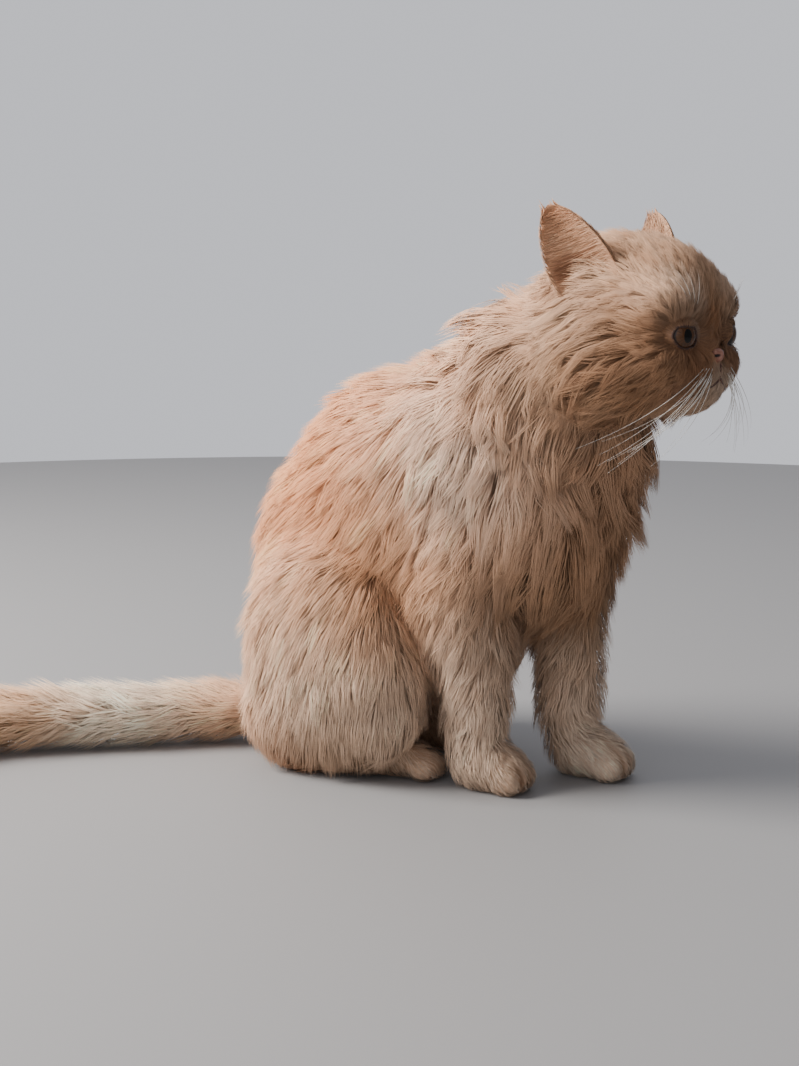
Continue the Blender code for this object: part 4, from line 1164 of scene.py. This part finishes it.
def coat_piece(name, points, ways, roots, colours, axis):
    """One mesh of many tufts, with its colours, its shading and its map."""
    count, each = points.shape[:2]
    triangles, patch = tuft_faces((each - 1) // 3)
    mesh = bpy.data.meshes.new(name)
    corners = (triangles[None] + each * np.arange(count)[:, None, None]).reshape(-1)
    mesh.vertices.add(each * count)
    mesh.vertices.foreach_set("co", ((points + STAND) * CM).reshape(-1))
    mesh.loops.add(len(corners))
    mesh.loops.foreach_set("vertex_index", corners)
    mesh.polygons.add(len(corners) // 3)
    mesh.polygons.foreach_set("loop_start", np.arange(0, len(corners), 3))
    mesh.polygons.foreach_set("use_smooth", np.ones(len(corners) // 3, bool))
    mesh.update(calc_edges=True)
    paint(mesh, colours.reshape(-1, 3))
    add_values(mesh, "custom_normal", "FLOAT_VECTOR", "vector", ways)
    layer = mesh.uv_layers.new(name="OFBake")
    place = unwrapped(roots, axis)[:, None] + PATCH * (patch - 0.5)[None]
    layer.uv.foreach_set("vector", np.clip(place, 0, 1).reshape(-1))
    piece = add_object(name, mesh, hair_material)
    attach(piece, "root")
    return len(corners) // 3


# %% Colour the hair
# How bright a tuft is at its root, at 0.4 of its length and at its tip, the darker root being
# painted shade deep in the coat; how far brightness varies, how much of that by lock and by
# tuft, and its bounds.
BRIGHTNESS_AT, BRIGHTNESS = (0, 0.4, 1), (0.80, 0.94, 1.06)
VARIES, BY_LOCK, BY_TUFT, VARIES_WITHIN = 0.14, 0.7, 0.5, (0.7, 1.3)


def hair_colours(roots, nearest, steps, chance):
    """A tuft's colour: the marking at its root, lighter or darker by lock and by tuft, and from a root
    darkened as painted shade to a paler tip."""
    by_lock, by_tuft = (
        np.clip(chance.normal(1.0, VARIES * share, len(roots)), *VARIES_WITHIN)
        for share in (BY_LOCK, BY_TUFT)
    )
    colour = coat_colour(roots) * (by_lock[nearest] * by_tuft)[:, None]
    along = np.interp(steps, BRIGHTNESS_AT, BRIGHTNESS)
    along = np.concatenate([np.repeat(along[:-1], 3), along[-1:]])
    return np.clip(colour[:, None] * along[None, :, None], 0, 1)


gloss = {"Sheen_Weight": 0.06, "Sheen_Roughness": 0.5, "Specular_IOR_Level": 0.25}
hair_material, tree = new_material("coat_hair", 0.6, **gloss)
base = read_attribute(tree, "coat", "Color")
strand = noise(tree, 800.0, 3.0)
cloud = noise(tree, 60.0, 2.0)
tint = mixed(tree, "MULTIPLY", strand.step(0.3, 0.7) * 0.18, base, (0.74, 0.60, 0.50))
coloured(tree, mixed(tree, "MULTIPLY", cloud.step(0.4, 0.7) * 0.2, tint, (0.95, 0.80, 0.66)))

# %% Scatter the roots over the skin
triangles = np.concatenate([skin_faces[:, [0, 1, 2]], skin_faces[:, [0, 2, 3]]])
corner_a, corner_b, corner_c = (skin_points[triangles[:, i]] for i in range(3))
areas = 0.5 * np.linalg.norm(np.cross(corner_b - corner_a, corner_c - corner_a), axis=1)
centres = (corner_a + corner_b + corner_c) / 3
part_names = list(part_fields)
nearest_part = np.stack([read(part_fields[name], centres) for name in part_names]).argmin(axis=0)
print("skin area", round(float(areas.sum())), "square centimetres")

# %% Say how thickly the coat grows
# For each part: how many tufts, how far its locks are drawn together, how many tufts to a lock,
# how far each lock strays from the lie, the axis of its unwrap, and a slot name.
COATS = {
    "head": (42000, 0.7, 14, 0.32, (0.3, 0, 1.0), "face_coat"),
    "neck": (11000, 0.85, 36, 0.30, (0.3, 0, 1.0), "coat"),
    "torso": (34000, 0.7, 30, 0.26, (0.5, 0, 1.0), "coat"),
    "thigh": (12000, 0.6, 24, 0.22, (0, 1.0, 0), "pale_coat"),
    "foreleg": (4500, 0.5, 14, 0.25, (0, 0, 1.0), "short_coat"),
    "forepaw": (2200, 0.3, 8, 0.15, (1.0, 0, 0), "short_coat"),
    "hindpaw": (1200, 0.3, 8, 0.15, (1.0, 0, 0), "short_coat"),
    "tail": (9500, 0.55, 20, 0.4, (1.0, 0.6, 0), "tail_coat"),
}
# How many tufts one piece may have.
MOST_TUFTS, USUAL_MOST = {"neck": 12000}, 19000
SLEEK = ("torso", "thigh", "tail")
LEAST_DEPTH = 0.05
LOWEST_ROOT, LOWEST_POINT = 0.15, 0.02
# The head's tufts are closest where its coat is short: this is added to the depth there.
HEAD_EVENNESS = 0.22
# The belly between the legs is hidden, and gets this share of the tufts.
BELLY_BELOW, BELLY_FROM, BELLY_SHARE = 9.5, -3.5, 0.35
# A tuft's length and width: what both have with no depth of coat, and gain with each
# centimetre of it, and within which shares they vary.
SHORTEST, SHORTEST_ON_PAW, LONGER = 0.4, 0.2, 1.8
NARROWEST, WIDER = 0.034, 0.021
LENGTHS, WIDTHS, LOCK_LENGTHS = (0.7, 1.25), (0.7, 1.3), (0.75, 1.25)
# The share of the coat's depth that a tip reaches: the most, how much less the lowest have, by
# which power, and how far whole locks vary.
TOP, LOWER, LOWER_POWER, LOCK_TOPS = 1.12, 0.6, 1.6, 0.22
TUFT_LEAN = 0.1
# The depth at which a sleek coat begins to be unruly, over how many centimetres, and its least.
UNRULY_FROM, UNRULY_OVER, LEAST_UNRULY = 1.2, 1.2, 0.4
# How much each tuft joins its lock, the depth added to a short coat for that, and the most.
JOINING, JOINING_DEPTH, MOST_JOINED = (0.5, 1.3), 0.25, 0.95
print(sum(row[0] for row in COATS.values()), "tufts, counted once for each pair of legs")

# %% Keep the face clear
# Tufts keep off the ball of an eye by this share of its radius, and off its opening, within this
# distance, by this angle.
OFF_BALL, NEAR_EYE, OFF_OPENING = 1.02, 2.4, 0.05
NOSE_CENTRE = np.array([22.92, 0.0, 29.12])
NOSE_HALF = np.array([0.5, 0.6, 0.46])
CLEAR_OF_NOSE = (0.1, 0.02, 0.0)
head_axes = np.stack([head_way(way) for way in np.eye(3)], axis=1)


def clear_of_face(points, roots):
    """Which tufts neither start on an eyeball nor hang over the opening of an eye or the nose."""
    away = (points - head_place(NOSE_CENTRE)) @ head_axes / (NOSE_HALF + CLEAR_OF_NOSE)
    fair = (np.linalg.norm(away, axis=-1) > 1).all(axis=1)
    for side in SIDES:
        far, angle, turn = eye_view(points, side)
        over = (far < NEAR_EYE) & (angle < opening_angle(turn) + OFF_OPENING)
        root_far = eye_view(roots, side)[0]
        fair &= ~over.any(axis=1) & (root_far > EYE_RADIUS * OFF_BALL)
    return fair


print("the nose takes up", (2 * NOSE_HALF).round(2), "cm")


# %% Grow the coat
def depth_at(places):
    return np.maximum(-read(fields[1.0], places), LEAST_DEPTH)


def scattered_roots(kind, number, count, chance):
    """Places on the skin of one part: the larger a triangle, the more of them."""
    weight = areas * (nearest_part == number)
    if kind == "head":
        weight = weight / (HEAD_EVENNESS + depth_at(centres))
    if kind == "torso":
        hidden = (centres[:, 2] < BELLY_BELOW) & (centres[:, 0] > BELLY_FROM)
        weight = weight * np.where(hidden, BELLY_SHARE, 1.0)
    weight = weight / weight.sum()
    pick = np.searchsorted(np.cumsum(weight), chance.uniform(0, 1, count))
    pick = np.clip(pick, 0, len(areas) - 1)
    a, b = chance.uniform(0, 1, (2, count))
    a, b = np.where(a + b > 1, 1 - a, a), np.where(a + b > 1, 1 - b, b)
    corner = corner_a[pick]
    roots = corner + a[:, None] * (corner_b[pick] - corner) + b[:, None] * (corner_c[pick] - corner)
    return roots[roots[:, 2] > LOWEST_ROOT]


def grown_tufts(kind, roots, chance):
    """The tufts of one part: their points, their ways out, their colours and their lengths."""
    clump, each, wild = COATS[kind][1:4]
    count, deep = len(roots), depth_at(roots)
    steps, profile = TWO_BENDS if kind == "neck" else ONE_BEND
    shortest = SHORTEST_ON_PAW if kind.endswith("paw") else SHORTEST
    length = (shortest + LONGER * deep) * chance.uniform(*LENGTHS, count)
    width = (NARROWEST + WIDER * deep) * chance.uniform(*WIDTHS, count)
    nearest = nearest_leader(roots, each, chance)
    top = TOP - LOWER * chance.uniform(0, 1, count) ** LOWER_POWER
    top = top * (1 + LOCK_TOPS * chance.uniform(-1, 1, count)[nearest])
    # The deepest coat is the most unruly.
    unruly = np.clip((deep - UNRULY_FROM) / UNRULY_OVER, LEAST_UNRULY, 1.0) if kind in SLEEK else 1.0
    lean = chance.normal(0, TUFT_LEAN, count) + unruly * chance.normal(0, wild, count)[nearest]
    length = length * chance.uniform(*LOCK_LENGTHS, count)[nearest]
    paths, normals = tuft_paths(roots, steps, length, top, lean, kind == "tail")
    joined = clump * unruly**0.5 * chance.uniform(*JOINING, count) * np.minimum(deep + JOINING_DEPTH, 1.0)
    paths = drawn_together(paths, steps, nearest, np.clip(joined, 0, MOST_JOINED))
    points, ways = three_sided(paths, normals, width, profile)
    points[..., 2] = np.maximum(points[..., 2], LOWEST_POINT)
    return points, ways, hair_colours(roots, nearest, steps, chance), length


chance = np.random.default_rng(7)
total = 0
for number, name in enumerate(part_names):
    kind = name.split("_")[0]
    count, *_, axis, slot = COATS[kind]
    roots = scattered_roots(kind, number, count, chance)
    points, ways, colours, length = grown_tufts(kind, roots, chance)
    if kind == "head":
        fair = clear_of_face(points, roots)
        points, ways, roots, colours = points[fair], ways[fair], roots[fair], colours[fair]
    order = np.argsort(roots @ np.array(axis, float))
    parts = np.array_split(order, math.ceil(len(roots) / MOST_TUFTS.get(kind, USUAL_MOST)))
    for part, chosen in enumerate(parts):
        label = f"coat_{name}" if len(parts) == 1 else f"coat_{name}_{part + 1}"
        total += coat_piece(label, points[chosen], ways[chosen], roots[chosen], colours[chosen], axis)
    print(name, len(roots), "tufts, mean length", round(float(length.mean()), 2), "cm")
print("coat of", total, "triangles")

# %% [markdown]
# ## The coat of the ears and the lids
#
# The back of each ear has short fur that runs to the tip, and its edge a fringe. Inside, long
# pale hairs lie straight across the hollow from the front edge to the back. Round the eye, the
# finest hairs of all start just outside the bare rim of the lids and lie away from the eye.

# %% Cover the ears and the lids
# For each kind: how many, how thick, the turns round the ear at which they start, the heights,
# how far they turn and climb along the ear, how far they stand off, and how pale they are.
EAR_COATS = {
    "back": (1000, 0.055, (3.15, 6.28), (-0.2, 0.9), 0.0, 0.16, 0.14, 1.0),
    "inner": (750, 0.045, (0.05, 2.3), (-0.1, 0.86), 0.9, 0.04, 0.16, 1.25),
    # The front fringe is paler partly for its own pale hair and partly as painted light, where it stands in
    # shade.
    "front_edge": (420, 0.045, (-0.5, -0.1), (-0.3, 0.9), -0.05, 0.15, 0.2, 1.25),
    "back_edge": (320, 0.045, (2.9, 3.5), (-0.25, 0.92), -0.1, 0.2, 0.3, 1.05),
}
# The ears stand against the sky, and there a tuft keeps its own ways out: one borrowed from the
# shell behind it can face away from the light, and turns it black.
EAR_SOFTNESS = 0.0
# Past this height on the ear a tuft leaves the shell and runs on straight.
EAR_PATH_END = 0.96
EAR_ROOT_LIFT, EAR_RISE, EAR_PROBE, EAR_STRAY = -0.02, 0.7, 0.05, 0.01
VARY = (0.6, 1.2)
# How many tufts a lid has and how thick, within which shares of its way to the lid's far edge
# they start and by which power, how far they run and turn, and how far they stand off.
LID_TUFTS, LID_TUFT_WIDTH = 1100, 0.035
LID_STARTS, LID_START_POWER, LID_RUN, LID_TURN = (0.05, 0.75), 1.3, 0.42, 0.12
LID_ROOT_LIFT, LID_LIFTS, LID_RISE = 0.05, (0.12, 0.26), 0.8


def ear_paths(side, kind, steps, chance):
    """Paths that follow the shell of the ear while they turn and climb, and stand off it."""
    count, width, first_turns, heights, round_by, climb, off, pale = EAR_COATS[kind]
    v = chance.uniform(*heights, count)[:, None]
    turn = chance.uniform(*first_turns, count)[:, None]
    vary = chance.uniform(*VARY, (3, count, 1))
    v = v + climb * vary[0] * steps + chance.normal(0, EAR_STRAY, (count, 1)) * steps
    beyond = np.maximum(v - EAR_PATH_END, 0)[..., None] * ear_axes(side)[1]
    v = np.minimum(v, EAR_PATH_END)
    turn = turn + round_by * vary[1] * steps
    lift = EAR_ROOT_LIFT + off * vary[2] * steps**EAR_RISE
    paths = ear_place(side, v, turn, lift)
    normals = unit(ear_place(side, v, turn, lift + EAR_PROBE) - paths)
    return paths + beyond, normals, np.full(count, width), pale, EAR_SOFTNESS


def lid_paths(side, steps, chance):
    """Paths that start on the lid and run away from the eye, rising to the coat round it."""
    turn = chance.uniform(0, 2 * math.pi, LID_TUFTS)[:, None]
    start = opening_angle(turn)
    angle = start + chance.uniform(*LID_STARTS, (LID_TUFTS, 1)) ** LID_START_POWER * (LID_END - start)
    angle = angle + LID_RUN * chance.uniform(*VARY, (LID_TUFTS, 1)) * steps
    lift = LID_ROOT_LIFT + chance.uniform(*LID_LIFTS, (LID_TUFTS, 1)) * steps**LID_RISE
    paths = eye_place(side, LID_RADIUS + lift, angle, turn + LID_TURN * steps)
    return paths, unit(paths - eye_axes(side)[0]), np.full(LID_TUFTS, LID_TUFT_WIDTH), 1.0, SOFTNESS


steps, profile = ONE_BEND
for side, name in SIDES.items():
    groups = []
    for kind in (*EAR_COATS, "lids"):
        made = lid_paths(side, steps, chance) if kind == "lids" else ear_paths(side, kind, steps, chance)
        paths, normals, width, pale, softness = made
        points, ways = three_sided(paths, normals, width, profile, softness)
        colours = hair_colours(paths[:, 0], np.arange(len(paths)), steps, chance) * pale
        groups.append((points, ways, paths[:, 0], np.clip(colours, 0, 1)))
    points, ways, roots, colours = (np.concatenate([group[i] for group in groups]) for i in range(4))
    total += coat_piece(f"coat_ear_{name}", points, ways, roots, colours, (0, 0, 1.0))
print("with ears and lids", total, "triangles")

# %% [markdown]
# ## Nose, lips and whiskers
#
# The nose leather is a small pad, wide above and narrow below, with a comma-shaped nostril on
# each side. The edge of the lip shows as a dark line under the white whisker pads. The whiskers
# are long stiff white hairs that taper and bend down and back under their own weight.

# %% Make the nose
NOSE_RINGS, NOSE_AROUND = 48, 72
# How wide the nose is at its middle, how much wider above and narrower below, and how abruptly.
NOSE_NARROWS = (0.72, 0.28, 1.6)
NOSTRIL_AT, NOSTRIL_SIZE, NOSTRIL_SLANT, NOSTRIL_DEPTH = (0.34, -0.02), (0.15, 0.1), 0.5, 0.2
GROOVE_WIDTH, GROOVE_DEPTH, GROOVE_TOP = 0.045, 0.06, 0.3
a, b = ball_angles(NOSE_RINGS, NOSE_AROUND)
# A ball whose sides draw in below, with a dent for each nostril and a groove down the middle.
x, y, z = np.sin(a) * np.cos(b), np.sin(a) * np.sin(b), np.cos(a)
narrow = NOSE_NARROWS[0] + NOSE_NARROWS[1] * np.tanh(NOSE_NARROWS[2] * z)
wide, high = NOSE_HALF[1] * y * narrow, NOSE_HALF[2] * z
above = high - NOSTRIL_AT[1]
beside = np.abs(wide) - NOSTRIL_AT[0] + NOSTRIL_SLANT * above
dent = np.exp(-((beside / NOSTRIL_SIZE[0]) ** 2) - (above / NOSTRIL_SIZE[1]) ** 2)
groove = np.exp(-((wide / GROOVE_WIDTH) ** 2)) * np.clip(GROOVE_TOP - z, 0, 1)
forward = NOSE_HALF[0] * x - np.where(x > 0, NOSTRIL_DEPTH * dent + GROOVE_DEPTH * groove, 0)
nose = NOSE_CENTRE + np.stack([forward, wide, high], axis=-1)
poles = [NOSE_CENTRE + (0, 0, NOSE_HALF[2]), NOSE_CENTRE - (0, 0, NOSE_HALF[2])]
walls, caps = ring_faces(NOSE_RINGS, NOSE_AROUND, 0)
material, tree = new_material("nose_leather", 0.38)
hollow = Flow(tree, read_attribute(tree, "hollow", "Fac"))
pebbles = add_node(tree, "ShaderNodeTexVoronoi", {}, {"Vector": object_place(tree), "Scale": 2600.0})
pebble = Flow(tree, pebbles.outputs["Distance"])
flush = noise(tree, 300.0, 2.0)
leather = mixed(tree, "MIX", flush.step(0.35, 0.65), (0.30, 0.125, 0.085), (0.46, 0.22, 0.16))
# The nostrils are painted near black in their dents: painted shade in the openings.
coloured(tree, mixed(tree, "MIX", hollow.step(0.15, 0.6), leather, (0.012, 0.006, 0.005)))
bumped(tree, pebble, 0.5, 0.0004)
piece = make_piece("nose", head_place(np.concatenate([nose.reshape(-1, 3), poles])), walls + caps, material)
outward_faces(piece.data)
add_values(piece.data, "hollow", "FLOAT", "value", [*dent.ravel(), 0.0, 0.0])
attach(piece, "root")
print("nose", round(2 * NOSE_HALF[1], 2), "cm wide")

# %% Make the edge of the lips
# No tube runs along this way, so that it can be used to find the ways across each.
SKEW = (0.31, 0.17, 0.93)
# Where a line seen from in front starts, its steps onto the head, and the longest of them.
IN_FRONT, FACE_STEPS, FACE_STEP = 23.5, 40, 0.2


def tube(path, radius, around):
    """A round tube along a path, whose radius may change, closed to a point at each end."""
    path = np.asarray(path, float)
    ahead = unit(np.gradient(path, axis=0))
    side = unit(np.cross(ahead, SKEW))
    up = np.cross(ahead, side)
    turn = turns(around)
    ring = np.cos(turn)[None, :, None] * side[:, None] + np.sin(turn)[None, :, None] * up[:, None]
    radius = np.broadcast_to(np.asarray(radius, float), (len(path),))
    points = path[:, None] + radius[:, None, None] * ring
    poles = [path[0] - radius[0] * ahead[0], path[-1] + radius[-1] * ahead[-1]]
    return np.concatenate([points.reshape(-1, 3), poles])


def tubes_piece(name, tubes, material, around=8):
    """Many tubes as one piece."""
    points, faces = [], []
    for path, radius in tubes:
        walls, caps = ring_faces(len(path), around, sum(len(made) for made in points))
        points.append(tube(path, radius, around))
        faces += walls + caps
    piece = make_piece(name, np.concatenate(points), faces, material)
    outward_faces(piece.data)
    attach(piece, "root")


def on_face(line, share):
    """Widths and heights seen from in front, carried back onto the head at a share of its coat."""
    points = head_place([(IN_FRONT, y, z) for y, z in line])
    back = head_way((-1.0, 0.0, 0.0))
    for _ in range(FACE_STEPS):
        points = points + back * np.clip(at_share(points, share), -FACE_STEP, FACE_STEP)[:, None]
    return points


# Widths and heights down the middle from the nose, and from there along the lip.
LIP_MIDDLE = [(0.0, 28.62), (0.0, 28.2), (0.0, 27.75)]
LIP_EDGE = [(0.0, 27.75), (0.35, 27.45), (0.9, 27.2), (1.5, 26.9), (2.1, 26.5)]
# The share of the coat's depth at which lips and whiskers lie, and both lines' thickness.
MUZZLE_SHARE, EDGE_RADIUS, MIDDLE_RADIUS = 0.6, 0.06, 0.045
material, tree = new_material("lip_edge", 0.4)
damp = noise(tree, 700.0, 3.0)
coloured(tree, mixed(tree, "MIX", damp.step(0.3, 0.7), (0.05, 0.022, 0.016), (0.16, 0.07, 0.05)))
bumped(tree, damp, 0.3, 0.0003)
lines = [(side, LIP_EDGE, 30, EDGE_RADIUS) for side in SIDES] + [(1, LIP_MIDDLE, 12, MIDDLE_RADIUS)]
tubes = [
    (on_face(smooth_path([(side * y, z) for y, z in line], count), MUZZLE_SHARE), radius)
    for side, line, count, radius in lines
]
tubes_piece("lip_edges", tubes, material)
print(len(tubes), "lines of the lips")

# %% Make the whiskers
# Four whiskers to each of three rows on the pads, and four finer hairs over each eye.
ROW_HEIGHTS, COLUMNS = (28.35, 28.0, 27.7), range(4)
WHISKER_STEPS, WHISKER_RADIUS, BROW_HAIR_RADIUS = 16, 0.024, 0.016
WHISKER_LENGTHS, WHISKER_BENDS, BROW_HAIR_LENGTHS = (7.0, 9.5), (0.15, 0.45), (2.0, 3.0)
BROW_HAIR_BEND, BROW_SHARE = (-0.2, 0, -0.15), 0.4
# How much of its radius a whisker or a claw loses by its tip.
THINS = 0.85
chance = np.random.default_rng(19)


def whisker(root, way, length, bend):
    """A path that starts along its way and bends back with the square of how far it has gone."""
    t = np.linspace(0, 1, WHISKER_STEPS)[:, None]
    return root + length * (t * unit(np.asarray(way, float)) + t**2 * np.asarray(bend, float))


tubes = []
for side in SIDES:
    for row, height in enumerate(ROW_HEIGHTS):
        for column in COLUMNS:
            spot = (side * (1.0 + 0.28 * column), height + chance.normal(0, 0.05))
            out = (0.1 - 0.1 * column, side * 0.85, -0.75 - 0.1 * row)
            way = head_way(np.array(out) + chance.normal(0, 0.07, 3))
            length = chance.uniform(*WHISKER_LENGTHS) * (1 - 0.06 * row)
            bend = chance.uniform(*WHISKER_BENDS) * np.array([-1.0, 0.35 * side, 0.3])
            tubes.append((whisker(on_face([spot], MUZZLE_SHARE)[0], way, length, bend), WHISKER_RADIUS))
    for column in COLUMNS:
        root = on_face([(side * (2.2 + 0.3 * column), 32.2 + 0.15 * column)], BROW_SHARE)[0]
        way = head_way((0.35 - 0.1 * column, side * (0.35 + 0.15 * column), 0.8))
        length = chance.uniform(*BROW_HAIR_LENGTHS)
        tubes.append((whisker(root, way, length, BROW_HAIR_BEND), BROW_HAIR_RADIUS))
material, tree = new_material("whisker", 0.3)
band = noise(tree, 120.0, 2.0)
coloured(tree, mixed(tree, "MIX", band.step(0.35, 0.65), (0.93, 0.91, 0.86), (0.80, 0.75, 0.66)))
tapered = [(path, width * (1 - THINS * np.linspace(0, 1, len(path)))) for path, width in tubes]
tubes_piece("whiskers", tapered, material, 6)
print(len(tubes), "whiskers")

# %% [markdown]
# ## Claws
#
# A cat's claws are horn, and while it sits they are drawn in, so that only the tips show in the
# fur of the toes. Each is a thin round tube that tapers and curves down, which is enough for a
# form so small, and one piece holds them all.

# %% Make the claws
CLAW_LENGTH, CLAW_THICK, CLAW_HEIGHT = 0.42, 0.07, 0.62
FORE_CLAW_AHEAD, HIND_CLAW_AHEAD = 0.80, 0.70
CLAW_WAY, CLAW_BEND = np.array([1.0, 0, -0.1]), np.array([-0.3, 0, -0.6])
t = np.linspace(0, 1, 9)[:, None]
horn = CLAW_LENGTH * (t * CLAW_WAY + t**2 * CLAW_BEND)
tubes = [
    ((x + ahead, y, CLAW_HEIGHT) + horn, CLAW_THICK * (1 - THINS * t[:, 0]))
    for side in SIDES
    for toes, ahead in ((fore_toes(side), FORE_CLAW_AHEAD), (hind_toes(side), HIND_CLAW_AHEAD))
    for x, y in toes
]
material, tree = new_material("claw_horn", 0.3)
grain = noise(tree, 500.0, 3.0)
coloured(tree, mixed(tree, "MIX", grain.step(0.3, 0.7), (0.62, 0.50, 0.40), (0.42, 0.30, 0.22)))
bumped(tree, grain, 0.2, 0.0002)
tubes_piece("claws", tubes, material)
print(len(tubes), "claws")
